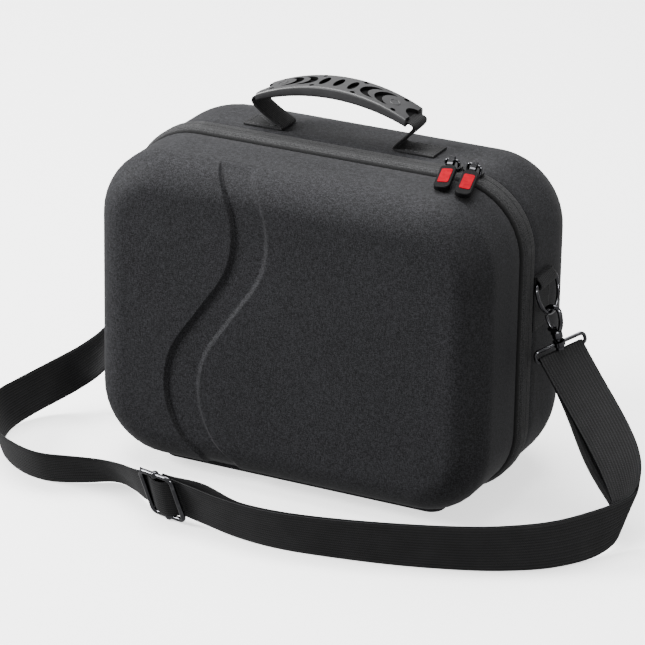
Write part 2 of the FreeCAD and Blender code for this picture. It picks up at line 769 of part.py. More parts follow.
def snap_hook():
    """Claw, gate ears, barrel and headed post in one casting."""
    centre = claw_centre()
    claw = rod(claw_line(), size("claw_wire") / 2)
    tip = Part.makeSphere(size("claw_wire") / 2, on_claw(CLAW_END))
    top = barrel_top()
    barrel = Part.makeCylinder(size("barrel_radius"), size("barrel_height"),
                               point(centre.x, centre.y, top - size("barrel_height")))
    ring = [edge for edge in barrel.Edges if edge.BoundBox.ZLength < 0.01]
    barrel = barrel.makeChamfer(0.2 * size("barrel_radius"), ring)
    eye, play = eye_centre()
    head_top = eye.z - size("eye_thickness") / 2 - play
    stem = Part.makeCylinder(size("post_radius"), top - head_top, point(centre.x, centre.y, head_top))
    head = Part.makeCylinder(0.8 * size("barrel_radius"), size("post_radius"),
                             point(centre.x, centre.y, head_top - size("post_radius")))
    shape = claw.fuse([tip, barrel, stem, head])
    pivot = on_claw(GATE_ROOT)
    ear = size("claw_wire") / 2
    web = size("claw_wire") * 0.3
    for side in (-1, 1):
        inner = centre.y + side * (web + size("clearance"))
        thick = side * web
        low = min(inner, inner + thick)
        plate = Part.makeCylinder(ear, abs(thick), point(pivot.x, low, pivot.z), point(0, 1, 0))
        brace = Part.makeBox(centre.x - pivot.x, abs(thick), pivot.z - top + ear, point(pivot.x, low, top - ear))
        shape = shape.fuse([plate, brace])
    bore = Part.makeCylinder(size("gate_pin_radius"), 4 * ear, point(pivot.x, centre.y - 2 * ear, pivot.z),
                             point(0, 1, 0))
    slot = Part.makeBox(2 * ear + web, 2 * (web + size("clearance")), 2 * ear + web,
                        point(pivot.x - ear - web, centre.y - web - size("clearance"), pivot.z - ear))
    return leaning(shape.cut(bore).cut(slot).removeSplitter())


def hook_gate():
    """Sprung gate that closes the claw, on its pin."""
    web = size("claw_wire") * 0.3
    pivot = on_claw(GATE_ROOT)
    bend = Part.Arc(pivot, on_claw((GATE_ROOT + GATE_TIP) / 2), on_claw(GATE_TIP)).toShape()
    arm = rod(Part.Wire(bend), web)
    half = 0.95 * web
    boss = Part.makeCylinder(size("claw_wire") * 0.42, 2 * half, point(pivot.x, pivot.y - half, pivot.z), point(0, 1, 0))
    bore = Part.makeCylinder(size("gate_pin_radius") + 0.05, 4 * web,
                             point(pivot.x, pivot.y - 2 * web, pivot.z), point(0, 1, 0))
    return leaning(arm.fuse(boss).cut(bore).removeSplitter())


def gate_pin():
    """Rivet through the ears and the gate."""
    web = size("claw_wire") * 0.3
    reach = 2 * web + size("clearance")
    pivot = on_claw(GATE_ROOT)
    start = point(pivot.x, pivot.y - reach, pivot.z)
    return leaning(Part.makeCylinder(size("gate_pin_radius"), 2 * reach, start, point(0, 1, 0)))


def swivel_loop():
    """Wire loop for the strap under a swivel eye, turned and tilted as the strap holds it."""
    half = (size("loop_inside") + size("loop_wire")) / 2
    drop = size("loop_drop")
    corners = [point(0, 0, 0), point(half, 0, 0), point(half, 0, -drop), point(-half, 0, -drop), point(-half, 0, 0),
               point(0, 0, 0)]
    wire = rod(rounded_path(corners, [0.4 * drop] * 4), size("loop_wire") / 2)
    eye_radius = 1.15 * size("barrel_radius")
    thick = size("eye_thickness")
    eye = Part.makeCylinder(eye_radius, thick, point(0, 0, -thick / 2))
    tilt = math.radians(size("loop_tilt"))
    hole = size("post_radius") / math.cos(tilt) + thick / 2 * math.tan(tilt) + size("clearance")
    bore = Part.makeCylinder(hole, 2 * thick, point(0, 0, -thick))
    loop = wire.fuse(eye).cut(bore).removeSplitter()
    loop.rotate(point(0, 0, 0), point(0, 1, 0), -size("loop_tilt"))
    loop.rotate(point(0, 0, 0), point(0, 0, 1), size("loop_turn"))
    loop.rotate(point(0, 0, 0), point(0, 1, 0), size("hook_lean"))
    loop.translate(eye_centre()[0])
    return leaning(loop)


def side_fittings():
    """Ring tab, ring, hook, gate, pin and loop on the right, and their mirror images on the left."""
    nodes = []
    makers = [("ring_tab", ring_tab), ("d_ring", d_ring), ("snap_hook", snap_hook), ("hook_gate", hook_gate),
              ("gate_pin", gate_pin), ("swivel_loop", swivel_loop)]
    for name, maker in makers:
        shape = maker()
        nodes.append(solid(name + "_right", shape))
        nodes.append(solid(name + "_left", shape.mirror(point(0, 0, 0), point(1, 0, 0))))
    return nodes


# Zip sliders and pulls, built at the middle of the top and moved along the seam


def crown_centre():
    """Middle of the crown's bar over a slider at the middle of the top."""
    base = worth(CREST) + size("clearance") + size("slider_plate")
    return point(0, worth(SEAM), base + size("crown_gap") + size("crown_wire") / 2)


def zip_slider():
    """Flat plate that rides on the tapes, with a crown for the pull."""
    bar = crown_centre()
    length = size("slider_length")
    width = size("slider_width")
    base = worth(CREST) + size("clearance")
    plate = Part.makeBox(length, width, size("slider_plate"), point(-length / 2, bar.y - width / 2, base))
    upright = [edge for edge in plate.Edges if abs(edge.tangentAt(edge.FirstParameter).z) > 0.9]
    plate = plate.makeFillet(0.3 * width, upright)
    half = length / 2 - size("crown_wire")
    foot = base + size("slider_plate") / 2
    route = [point(-half, bar.y, foot), point(-half, bar.y, bar.z), point(half, bar.y, bar.z), point(half, bar.y, foot)]
    crown = rod(rounded_path(route, [size("crown_wire") * 0.75] * 2), size("crown_wire") / 2)
    return plate.fuse(crown).removeSplitter()


def pull_pieces():
    """Link round the crown, rubber tab and its plain inlay, lying forward over the band."""
    bar = crown_centre()
    width = size("link_width")
    swing = width / 2 * math.tan(math.radians(size("pull_slant")))
    inner = size("crown_wire") / 2 + swing + size("clearance")
    outer = inner + size("link_wall")
    reach = size("link_reach")
    side = point(bar.x - width / 2, bar.y, bar.z)

    def stadium(radius):
        """Flat ring outline from the crown's bar to the tab, extruded across."""
        near = Part.makeCylinder(radius, width, side, point(1, 0, 0))
        far = Part.makeCylinder(radius, width, side + point(0, -reach, 0), point(1, 0, 0))
        web = Part.makeBox(width, reach, 2 * radius, side + point(0, -reach, -radius))
        return near.fuse([far, web]).removeSplitter()

    link = stadium(outer).cut(stadium(inner))
    length = size("pull_length")
    across = size("pull_width")
    thick = size("pull_thickness")
    start = bar + point(0, -reach - inner, -thick / 2)
    tab = Part.makeBox(across, length, thick, start + point(-across / 2, -length, 0))
    upright = [edge for edge in tab.Edges if abs(edge.tangentAt(edge.FirstParameter).z) > 0.9]
    tab = tab.makeFillet(0.42 * across, upright)
    rims = [edge for edge in tab.Edges if edge.BoundBox.ZLength < 0.01]
    tab = tab.makeFillet(0.2 * thick, rims)
    tab = tab.cut(link)
    field = size("badge_length")
    inlay = Part.makeBox(size("badge_width"), field, size("badge_thickness"),
                         start + point(-size("badge_width") / 2, -(length + field) / 2, thick))
    corners = [edge for edge in inlay.Edges if abs(edge.tangentAt(edge.FirstParameter).z) > 0.9]
    inlay = inlay.makeFillet(0.2 * size("badge_width"), corners)
    pieces = [link, tab, inlay]
    for piece in pieces:
        piece.rotate(bar, point(0, 0, 1), size("pull_slant"))
        piece.rotate(bar, point(1, 0, 0), size("pull_dip"))
    return pieces


def zip_pulls():
    """One slider on the straight top run and one just round the corner, each with its pull."""
    corner = point(size("seam_width") / 2 - size("seam_corner"), 0,
                   worth(CENTRE) + size("seam_height") / 2 - size("seam_corner"))
    nodes = []
    names = ["zip_slider", "pull_link", "pull_tab", "pull_badge"]
    shapes = [zip_slider()] + pull_pieces()
    for name, shape in zip(names, shapes):
        left = shape.copy()
        left.translate(point(corner.x - size("left_slider_gap"), 0, 0))
        right = shape.copy()
        right.translate(point(corner.x, 0, 0))
        right.rotate(corner, point(0, 1, 0), size("right_slider_angle"))
        nodes.append(solid(name + "_left", left))
        nodes.append(solid(name + "_right", right))
    return nodes


# Shoulder strap: middle line and the direction of its width at each point, from each hook to the adjuster

STRAP_RIGHT = [
    ((157.9, 4.3, 100.1), (0.61, 0.74, 0.28)),
    ((172, -1, 84.5), (0.61, 0.75, 0.25)),
    ((188, -10, 71), (0.54, 0.77, 0.34)),
    ((203, -19, 58), (0.50, 0.77, 0.40)),
    ((216, -29, 46), (0.40, 0.76, 0.51)),
    ((225, -38, 33), (0.26, 0.66, 0.71)),
    ((227, -46, 20.5), (0.18, 0.45, 0.87)),
    ((222, -57, 17.5), (0.09, 0.45, 0.89)),
    ((216, -73, 17.3), (0.03, 0.22, 0.97)),
    ((205, -91, 17), (0, 0, 1)),
    ((193, -105, 17), (0, -0.05, 1)),
    ((174, -119, 17), (0, -0.12, 0.99)),
    ((154, -130, 17), (0, -0.17, 0.98)),
    ((113, -145, 16.8), (0, -0.22, 0.97)),
    ((68, -156, 16.5), (0, -0.31, 0.95)),
    ((32, -161.5, 16.3), (0, -0.34, 0.94)),
    ((0, -160, 17), (0, -0.37, 0.93)),
    ((-27, -156, 19), (0.01, -0.39, 0.92)),
    ((-49.5, -153, 21), (0.02, -0.39, 0.92)),
]
STRAP_LEFT = [
    ((-156.6, 3.9, 99.4), (-0.61, 0.74, 0.28)),
    ((-159, -2, 82), (-0.58, 0.70, 0.34)),
    ((-162, -8, 64), (-0.40, 0.60, 0.60)),
    ((-171, -16, 46), (-0.10, 0.30, 0.95)),
    ((-184, -23, 34), (0, 0.10, 0.99)),
    ((-198, -32, 24.5), (0, 0.05, 1)),
    ((-207, -46, 19.5), (0, 0, 1)),
    ((-213, -63, 17), (-0.05, 0, 1)),
    ((-214, -81, 16.8), (-0.20, -0.07, 0.98)),
    ((-207, -101, 16.5), (-0.21, -0.18, 0.96)),
    ((-196, -118, 16.2), (-0.22, -0.26, 0.94)),
    ((-179, -133, 15.8), (-0.18, -0.38, 0.91)),
    ((-161, -141, 15.4), (-0.08, -0.46, 0.88)),
    ((-144, -143, 15), (-0.05, -0.53, 0.85)),
    ((-125, -134, 14.5), (-0.21, -0.58, 0.79)),
    ((-107, -124, 14), (-0.06, -0.67, 0.74)),
    ((-88, -131, 15.3), (-0.05, -0.57, 0.82)),
    ((-70, -146, 18.5), (-0.02, -0.47, 0.88)),
    ((-49.5, -153, 21), (0.02, -0.39, 0.92)),
]


def strap(name, route, layers):
    """Flat webbing along a route: sections across each run's ends and each bend's middle, joined by a loft."""
    places = [point(*place) for place, lean in route]
    leans = [point(*lean).normalize() for place, lean in route]
    half = size("strap_width") / 2
    thick = layers * size("strap_thickness") / 2
    stations = [(places[0], leans[0], (places[1] - places[0]).normalize())]
    radii = []
    for index in range(1, len(places) - 1):
        arrive = places[index] - places[index - 1]
        leave = places[index + 1] - places[index]
        turn = arrive.getAngle(leave)
        cut = 0.45 * min(arrive.Length, leave.Length)
        radius = cut / math.tan(turn / 2)
        radii.append(round(radius))
        arrive.normalize()
        leave.normalize()
        inward = (leave - arrive).normalize()
        centre = places[index] + inward * (radius / math.cos(turn / 2))
        stations.append((places[index] - arrive * cut, leans[index], arrive))
        stations.append((centre - inward * radius, leans[index], (arrive + leave).normalize()))
        stations.append((places[index] + leave * cut, leans[index], leave))
    along = (places[-1] - places[-2]).normalize()
    stations.append((places[-1] - along * size("clearance"), leans[-1], along))
    sections = []
    for place, lean, along in stations:
        across = lean * half
        face = along.cross(across).normalize() * thick
        corners = [place + across + face, place + across - face, place - across - face, place - across + face]
        sections.append(Part.makePolygon(corners + corners[:1]))
    shape = Part.makeLoft(sections, True, True)
    run = sum((last[0] - first[0]).Length for first, last in zip(stations, stations[1:]))
    share = shape.Volume / (run * 4 * half * thick)
    print(name, "radii", radii, "length", round(run), "volume share", round(share, 3))
    return solid(name, shape)


def shoulder_strap():
    """Two layers from the right hook to the adjuster and one from there to the left hook."""
    return [strap("strap_webbing_right", STRAP_RIGHT, size("strap_layers")), strap("strap_webbing_left", STRAP_LEFT, 1)]


def strap_adjuster():
    """Wire frame with a knobbed cross bar, standing in front of the webbing as the strap stands there."""
    wire = size("adjuster_wire") / 2
    long = size("adjuster_length") / 2
    wide = size("strap_width") / 2 + size("clearance") + wire
    corners = [point(0, 0, wide), point(long, 0, wide), point(long, 0, -wide), point(-long, 0, -wide),
               point(-long, 0, wide), point(0, 0, wide)]
    frame = rod(rounded_path(corners, [2.2 * wire] * 4), wire)
    bar = Part.makeCylinder(0.8 * wire, 2 * wide, point(0, 0, -wide))
    knobs = [Part.makeSphere(size("adjuster_knob") / 2, point(0, 0, side * wide)) for side in (-1, 1)]
    bar = bar.fuse(knobs).removeSplitter().cut(frame)
    place, lean = STRAP_RIGHT[-1]
    before = point(*STRAP_RIGHT[-2][0])
    after = point(*STRAP_LEFT[-2][0])
    along = (after - before).normalize()
    upward = point(*lean)
    upward = (upward - along * upward.dot(along)).normalize()
    turn = FreeCAD.Rotation(along, along.cross(upward) * -1, upward, "ZXY")
    proud = wire + size("strap_layers") * size("strap_thickness") / 2 + 2 * size("clearance")
    centre = point(*place) - along.cross(upward) * proud
    nodes = []
    for name, shape in (("strap_adjuster", frame), ("adjuster_bar", bar)):
        node = solid(name, shape)
        node.Placement = FreeCAD.Placement(centre, turn)
        nodes.append(node)
    return nodes


lid_shell, lid_hollow = front_shell()
deep_shell, back_hollow = back_shell()
doc.recompute()
NODES = [lid_shell, deep_shell]
NODES += zip_band()
NODES.append(foam_insert())
NODES += lid_pocket()
NODES += carrying_handle()
NODES += side_fittings()
NODES += zip_pulls()
NODES += shoulder_strap()
NODES += strap_adjuster()

doc.recompute()
for node in doc.Objects:
    if "Invalid" in node.State or "Error" in node.State:
        raise RuntimeError("%s is not built: %s" % (node.Label, node.State))
for node in NODES:
    if node.Shape.isNull() or not node.Shape.isValid() or not node.Shape.Solids:
        raise RuntimeError("%s has no valid solid" % node.Label)
os.makedirs("parts", exist_ok=True)
for node in NODES:
    node.Shape.exportStep("parts/%s.step" % node.Label)
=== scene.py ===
"""Moulded carrying case for a headset: shells, zip band, carrying handle, side hooks and shoulder strap."""

import logging
import math
from contextlib import contextmanager
from dataclasses import dataclass
from enum import Enum
from typing import ClassVar, Iterator, Sequence

import bpy
import numpy as np
from mathutils import Matrix, Vector


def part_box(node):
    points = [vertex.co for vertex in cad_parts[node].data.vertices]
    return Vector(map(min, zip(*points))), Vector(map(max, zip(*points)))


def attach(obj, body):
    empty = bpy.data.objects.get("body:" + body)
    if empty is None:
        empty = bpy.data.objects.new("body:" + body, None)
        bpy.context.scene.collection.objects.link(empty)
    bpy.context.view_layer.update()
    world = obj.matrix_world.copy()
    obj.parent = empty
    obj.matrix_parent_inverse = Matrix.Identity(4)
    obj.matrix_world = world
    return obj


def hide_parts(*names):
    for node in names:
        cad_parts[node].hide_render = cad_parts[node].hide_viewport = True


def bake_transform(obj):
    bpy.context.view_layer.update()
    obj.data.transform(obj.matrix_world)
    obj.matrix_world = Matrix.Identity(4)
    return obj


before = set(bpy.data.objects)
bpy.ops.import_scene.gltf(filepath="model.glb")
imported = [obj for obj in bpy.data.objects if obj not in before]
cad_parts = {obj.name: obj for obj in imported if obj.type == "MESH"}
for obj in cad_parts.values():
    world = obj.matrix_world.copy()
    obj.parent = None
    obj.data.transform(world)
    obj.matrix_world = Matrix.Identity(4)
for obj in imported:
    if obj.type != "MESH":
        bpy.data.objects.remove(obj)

LOG = logging.getLogger("carrying_case")
MM = 0.001
TURN = 2 * math.pi
FOOT_HALF = 102.0
FOOT_HEIGHT = 8.5
FOOT_CORNER = 10.0
FOOT_RIM = 1.2
SELVEDGE = 0.05
SELVEDGE_RIM = 0.35
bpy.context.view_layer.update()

Piece = bpy.types.Object
Material = bpy.types.Material
Socket = bpy.types.NodeSocket


class Signal:
    """A shader value that takes part in Python arithmetic."""

    def __init__(self, tree: bpy.types.NodeTree, socket: Socket) -> None:
        """Keep the tree that new nodes go to and the socket that holds the value."""
        self.tree = tree
        self.socket = socket

    def _math(self, operation: str, *terms: "Signal | float", clamp: bool = False) -> "Signal":
        """Add one Math node.

        Args:
            operation: Name of the Math operation.
            terms: Inputs in order, values or plain numbers.
            clamp: Whether the result is held between 0 and 1.

        Returns:
            The node's result.
        """
        node = self.tree.nodes.new("ShaderNodeMath")
        node.operation = operation
        node.use_clamp = clamp
        for place, term in zip(node.inputs, terms):
            if isinstance(term, Signal):
                self.tree.links.new(term.socket, place)
            else:
                place.default_value = term
        return Signal(self.tree, node.outputs[0])

    def __add__(self, other: "Signal | float") -> "Signal":
        """Sum."""
        return self._math("ADD", self, other)

    def __sub__(self, other: "Signal | float") -> "Signal":
        """Difference."""
        return self._math("SUBTRACT", self, other)

    def __rsub__(self, other: float) -> "Signal":
        """Difference from a number."""
        return self._math("SUBTRACT", other, self)

    def __mul__(self, other: "Signal | float") -> "Signal":
        """Product."""
        return self._math("MULTIPLY", self, other)

    def __abs__(self) -> "Signal":
        """Size without sign."""
        return self._math("ABSOLUTE", self)

    def sine(self) -> "Signal":
        """Sine of the value in radians."""
        return self._math("SINE", self)

    def remainder(self, step: float) -> "Signal":
        """What is left after whole steps."""
        return self._math("FLOORED_MODULO", self, step)

    def above(self, level: "Signal | float") -> "Signal":
        """One where the value is above a level, else nought."""
        return self._math("GREATER_THAN", self, level)

    def held(self) -> "Signal":
        """The value held between 0 and 1."""
        return self._math("ADD", self, 0.0, clamp=True)


class Painter:
    """Builds one procedural material."""

    def __init__(self, name: str) -> None:
        """Start a material with its surface shader."""
        self.material = bpy.data.materials.new(name)
        self.material.use_nodes = True
        self.tree = self.material.node_tree
        self.surface = self.tree.nodes["Principled BSDF"]

    def node(self, kind: str, settings: dict | None = None, **sockets: object) -> bpy.types.Node:
        """Add a node, set its options, then fill its sockets.

        Args:
            kind: Node type name without the leading ShaderNode.
            settings: Options by name.
            sockets: Values or links by socket name, with blanks written as underscores.

        Returns:
            The node.
        """
        node = self.tree.nodes.new("ShaderNode" + kind)
        for option, value in (settings or {}).items():
            setattr(node, option, value)
        for name, value in sockets.items():
            self.fill(node.inputs[name.replace("_", " ")], value)
        return node

    def fill(self, place: Socket, value: object) -> None:
        """Link a signal or a socket to a place, or set a plain value there."""
        if isinstance(value, Signal):
            self.tree.links.new(value.socket, place)
        elif isinstance(value, Socket):
            self.tree.links.new(value, place)
        else:
            place.default_value = value

    def signal(self, node: bpy.types.Node, output: str | int = 0) -> Signal:
        """Take a node's output as a value for arithmetic."""
        return Signal(self.tree, node.outputs[output])

    def place(self) -> Socket:
        """Place on the piece in metres."""
        return self.node("TexCoord").outputs["Object"]

    def axes(self, vector: Socket) -> tuple[Signal, Signal, Signal]:
        """Split a vector into its three values."""
        split = self.node("SeparateXYZ", Vector=vector)
        return self.signal(split, "X"), self.signal(split, "Y"), self.signal(split, "Z")

    def noise(self, vector: Socket, scale: float, detail: float = 2.0) -> Signal:
        """Soft noise from 0 to 1."""
        return self.signal(self.node("TexNoise", Vector=vector, Scale=scale, Detail=detail))

    def stretched(self, vector: Socket, scale: tuple) -> Socket:
        """A vector scaled along each axis."""
        return self.node("Mapping", Vector=vector, Scale=scale).outputs[0]

    def blend(self, share: Signal, first: tuple, second: tuple) -> Socket:
        """Mix two colours by a value."""
        mix = self.node("Mix", {"data_type": "RGBA"})
        self.fill(mix.inputs[0], share)
        mix.inputs[6].default_value = (*first, 1.0)
        mix.inputs[7].default_value = (*second, 1.0)
        return mix.outputs[2]

    def bump(self, height: Signal, distance: float, strength: float) -> None:
        """Raise the surface by a value.

        Args:
            height: Height from 0 to 1.
            distance: Height of 1 in metres.
            strength: How much of the bump shows.
        """
        node = self.node("Bump", Height=height, Distance=distance, Strength=strength)
        self.fill(self.surface.inputs["Normal"], node.outputs[0])

    def finish(self, **sockets: object) -> Material:
        """Fill the surface shader's sockets and hand the material over."""
        for name, value in sockets.items():
            self.fill(self.surface.inputs[name.replace("_", " ")], value)
        return self.material


@dataclass(frozen=True)
class HeatherCloth:
    """Woven melange cloth bonded to the moulded shells."""

    name: str = "heather_cloth"
    dark: tuple = (0.0017, 0.0017, 0.0022)
    light: tuple = (0.0262, 0.0264, 0.0297)
    thread: float = 0.0007
    drawn: float = 0.30
    fleck: float = 1650.0
    cloud: float = 420.0
    patch: float = 14.0

    def material(self) -> Material:
        """Mottled twill in two greys with a fine raised weave."""
        painter = Painter(self.name)
        place = painter.place()
        drawn = self.drawn
        warp = painter.noise(painter.stretched(place, (1.0, 1.0, drawn)), 1.0 / self.thread, 1.0)
        weft = painter.noise(painter.stretched(place, (drawn, drawn, 1.0)), 1.0 / self.thread, 1.0)
        weave = (warp - 0.5) * 1.2 + (weft - 0.5) * 1.2 + 0.5
        fleck = painter.noise(place, self.fleck, 1.0)
        cloud = painter.noise(place, self.cloud)
        patch = painter.noise(place, self.patch)
        share = (fleck - 0.5) * 2.5 + (cloud - 0.5) * 0.3 + (patch - 0.5) * 0.25 + weave - 0.11
        painter.bump(weave * 0.6 + fleck * 0.8, 0.00022, 0.40)
        return painter.finish(
            Base_Color=painter.blend(share.held(), self.dark, self.light),
            Roughness=(fleck * 0.2 + 0.62).held(),
            Sheen_Weight=0.03,
            Sheen_Roughness=0.45,
            Specular_IOR_Level=0.14,
        )


@dataclass(frozen=True)
class RibbedTape:
    """Woven zip tape with ribs along the seam."""

    name: str = "ribbed_tape"
    dark: tuple = (0.0016, 0.0016, 0.0018)
    light: tuple = (0.066, 0.066, 0.068)
    rib: float = 0.0013
    cross: float = 0.0011
    front_foot: float = -0.0276
    back_foot: float = -0.0104
    # Place and sharpness of a painted highlight line near the tape's back edge.
    edge_highlight: float = -0.0118
    edge_highlight_rate: float = 2200.0
    foot_shade_rate: float = 900.0

    def material(self) -> Material:
        """Ribs across the depth with a fine cross weave, a painted highlight line near the back edge and
        painted shade at both feet where the band meets the shells.
        """
        painter = Painter(self.name)
        place = painter.place()
        x, y, z = painter.axes(place)
        rib = (y * (TURN / self.rib)).sine() * 0.5 + 0.5
        cross = ((x + z) * (TURN / self.cross)).sine() * ((x - z) * (TURN / self.cross)).sine()
        fleck = painter.noise(place, 1400.0)
        # Painted highlight: a thin light line along the tape near its back edge.
        edge_highlight = (1.0 - abs(y - self.edge_highlight) * self.edge_highlight_rate).held()
        share = rib * 0.14 + cross * 0.20 + (fleck - 0.5) * 1.7 + edge_highlight * 0.35 + 0.28
        # Painted shade: the tape turns black towards both feet, in the crevices beside the shells.
        ahead = ((y - self.front_foot) * self.foot_shade_rate + 0.5).held()
        behind = ((self.back_foot - y) * self.foot_shade_rate + 0.5).held()
        painter.bump(rib * 0.3 + cross * 0.3 + fleck * 0.5, 0.00025, 0.6)
        return painter.finish(
            Base_Color=painter.blend(share.held() * ahead * behind, self.dark, self.light),
            Roughness=(fleck * 0.25 + 0.60).held(),
            Sheen_Weight=0.02,
            Specular_IOR_Level=0.14,
        )


@dataclass(frozen=True)
class RibbedWebbing:
    """Flat black webbing; its own map runs in metres across and along it."""

    name: str = "ribbed_webbing"
    dark: tuple = (0.0018, 0.0018, 0.0020)
    light: tuple = (0.0250, 0.0250, 0.0266)
    rib: float = 0.0020
    twill: float = 0.00125

    def material(self) -> Material:
        """Ribs along the webbing, each with a slanted weave that turns from rib to rib."""
        painter = Painter(self.name)
        chart = painter.node("UVMap", {"uv_map": "webbing"}).outputs[0]
        across, along, _ = painter.axes(chart)
        rib = (across * (TURN / self.rib)).sine() * 0.5 + 0.5
        side = (across * (1 / self.rib)).remainder(2.0).above(1.0) * 2.0 - 1.0
        slant = ((along + side * across * 0.7) * (TURN / self.twill)).sine() * 0.5 + 0.5
        fleck = painter.noise(chart, 1500.0)
        wear = painter.noise(chart, 60.0)
        share = rib * 0.34 + slant * 0.46 + (fleck - 0.5) * 1.5 + (wear - 0.5) * 0.5 - 0.10
        painter.bump(rib * 0.5 + slant * 0.5 + fleck * 0.25, 0.00028, 0.7)
        return painter.finish(
            Base_Color=painter.blend(share.held(), self.dark, self.light),
            Roughness=(0.66 - rib * 0.15 + fleck * 0.1).held(),
            Sheen_Weight=0.015,
            Specular_IOR_Level=0.16,
        )


@dataclass(frozen=True)
class BlackNickel:
    """Polished dark plate on the cast and wire fittings."""

    name: str = "black_nickel"
    tone: tuple = (0.052, 0.052, 0.056)
    rubbed: tuple = (0.240, 0.240, 0.250)

    def material(self) -> Material:
        """Dark metal with faint clouding, fine scuffs and brighter rubbed places."""
        painter = Painter(self.name)
        place = painter.place()
        cloud = painter.noise(place, 140.0, 3.0)
        scuff = painter.noise(place, 2400.0)
        rubbed = ((cloud - 0.52) * 4.0).held()
        painter.bump(scuff * 0.5 + cloud * 0.5, 0.00006, 0.35)
        return painter.finish(
            Base_Color=painter.blend(rubbed * 0.5, self.tone, self.rubbed),
            Metallic=1.0,
            Roughness=(cloud * 0.10 + scuff * 0.05 + 0.07).held(),
        )


@dataclass(frozen=True)
class MouldedRubber:
    """Satin moulded rubber of the grip and the zip pulls, and duller kinds for shades and thread."""

    name: str
    dark: tuple
    light: tuple
    grain: float
    gloss: float
    matt: float = 0.36

    def material(self) -> Material:
        """Even grey with a fine spark-eroded grain and slightly polished high spots."""
        painter = Painter(self.name)
        place = painter.place()
        grain = painter.noise(place, self.grain, 3.0)
        cloud = painter.noise(place, 45.0)
        share = (grain - 0.5) * 0.9 + (cloud - 0.5) * 0.8 + 0.5
        painter.bump(grain, 0.00009, 0.5)
        return painter.finish(
            Base_Color=painter.blend(share.held(), self.dark, self.light),
            Roughness=(cloud * 0.16 + grain * 0.12 + self.matt).held(),
            Specular_IOR_Level=self.gloss,
        )


GRIP_RUBBER = MouldedRubber(
    "grip_rubber", (0.009, 0.009, 0.0098), (0.025, 0.025, 0.027), grain=900.0, gloss=0.6, matt=0.27)
# Near-black finish that paints shade into the grip's windows.
WINDOW_SHADE = MouldedRubber(
    "window_shade", (0.0010, 0.0010, 0.0011), (0.0040, 0.0040, 0.0043), grain=700.0, gloss=0.06)
PULL_RUBBER = MouldedRubber(
    "pull_rubber", (0.0022, 0.0022, 0.0024), (0.0060, 0.0060, 0.0064), grain=1200.0, gloss=0.05)
SEWING_THREAD = MouldedRubber(
    "sewing_thread", (0.005, 0.005, 0.0055), (0.022, 0.022, 0.024), grain=1600.0, gloss=0.3)


@dataclass(frozen=True)
class NylonCoil:
    """Black zip coil; its turns show as fine bars."""

    name: str = "nylon_coil"
    dark: tuple = (0.004, 0.004, 0.004)
    light: tuple = (0.022, 0.022, 0.023)
    pitch: float = 0.0014

    def material(self) -> Material:
        """Bars along both directions of the seam's sides."""
        painter = Painter(self.name)
        x, _, z = painter.axes(painter.place())
        bars = ((x + z) * (TURN / self.pitch)).sine() * 0.5 + 0.5
        painter.bump(bars, 0.0003, 0.8)
        return painter.finish(
            Base_Color=painter.blend(bars, self.dark, self.light),
            Roughness=(0.55 - bars * 0.15).held(),
        )


@dataclass(frozen=True)
class NappedFoam:
    """Dark foam with a short velvet nap on the insert."""

    name: str = "napped_foam"
    dark: tuple = (0.010, 0.010, 0.011)
    light: tuple = (0.042, 0.042, 0.045)

    def material(self) -> Material:
        """Soft mottled black with a pitted grain."""
        painter = Painter(self.name)
        place = painter.place()
        nap = painter.noise(place, 900.0, 3.0)
        sweep = painter.noise(place, 35.0, 3.0)
        share = (nap - 0.5) * 1.4 + (sweep - 0.5) * 1.1 + 0.45
        painter.bump(nap, 0.00025, 0.5)
        return painter.finish(
            Base_Color=painter.blend(share.held(), self.dark, self.light),
            Roughness=(nap * 0.15 + 0.8).held(),
            Sheen_Weight=0.25,
        )


@dataclass(frozen=True)
class KnittedMesh:
    """Open mesh of the lid's pocket."""

    name: str = "knitted_mesh"
    dark: tuple = (0.010, 0.010, 0.011)
    light: tuple = (0.060, 0.060, 0.064)
    pitch: float = 0.0032
    opening: float = 0.42

    def material(self) -> Material:
        """Round holes in staggered rows between shining threads."""
        painter = Painter(self.name)
        place = painter.place()
        x, _, z = painter.axes(place)
        turn = TURN / self.pitch
        cells = abs((x * turn).sine() * (z * (turn * 0.6)).sine())
        hole = cells.above(self.opening)
        thread = painter.noise(place, 1800.0)
        painter.bump(1.0 - cells, 0.0004, 0.6)
        painter.material.surface_render_method = "DITHERED"
        return painter.finish(
            Base_Color=painter.blend(thread, self.dark, self.light),
            Roughness=0.6,
            Alpha=1.0 - hole * 0.92,
        )


@dataclass(frozen=True)
class RedInlay:
    """Plain red field on the zip pulls."""

    name: str = "red_inlay"
    dark: tuple = (0.20, 0.0, 0.006)
    light: tuple = (0.36, 0.001, 0.012)

    def material(self) -> Material:
        """Printed red with a slightly worn, grainy face."""
        painter = Painter(self.name)
        place = painter.place()
        grain = painter.noise(place, 1600.0)
        wear = painter.noise(place, 320.0, 3.0)
        share = (wear - 0.5) * 1.6 + (grain - 0.5) * 0.6 + 0.45
        painter.bump(grain, 0.00005, 0.5)
        return painter.finish(
            Base_Color=painter.blend(share.held(), self.dark, self.light),
            Roughness=(grain * 0.2 + 0.52).held(),
            Specular_IOR_Level=0.02,
        )


@dataclass(frozen=True)
class PaleGround:
    """Even white ground of the picture, a little self-lit so that its shadows stay faint."""

    name: str = "pale_ground"
    dark: tuple = (0.93, 0.93, 0.93)
    light: tuple = (0.96, 0.96, 0.96)
    glow: float = 1.4

    def material(self) -> Material:
        """Matt white with the faintest unevenness."""
        painter = Painter(self.name)
        cloud = painter.noise(painter.place(), 3.0)
        return painter.finish(
            Base_Color=painter.blend(cloud, self.dark, self.light),
            Roughness=0.9,
            Specular_IOR_Level=0.1,
            Emission_Color=(1.0, 1.0, 1.0, 1.0),
            Emission_Strength=self.glow,
        )


class Edge(Enum):
    """How a skin ends."""

    OPEN = "open"
    CLOSED = "closed"


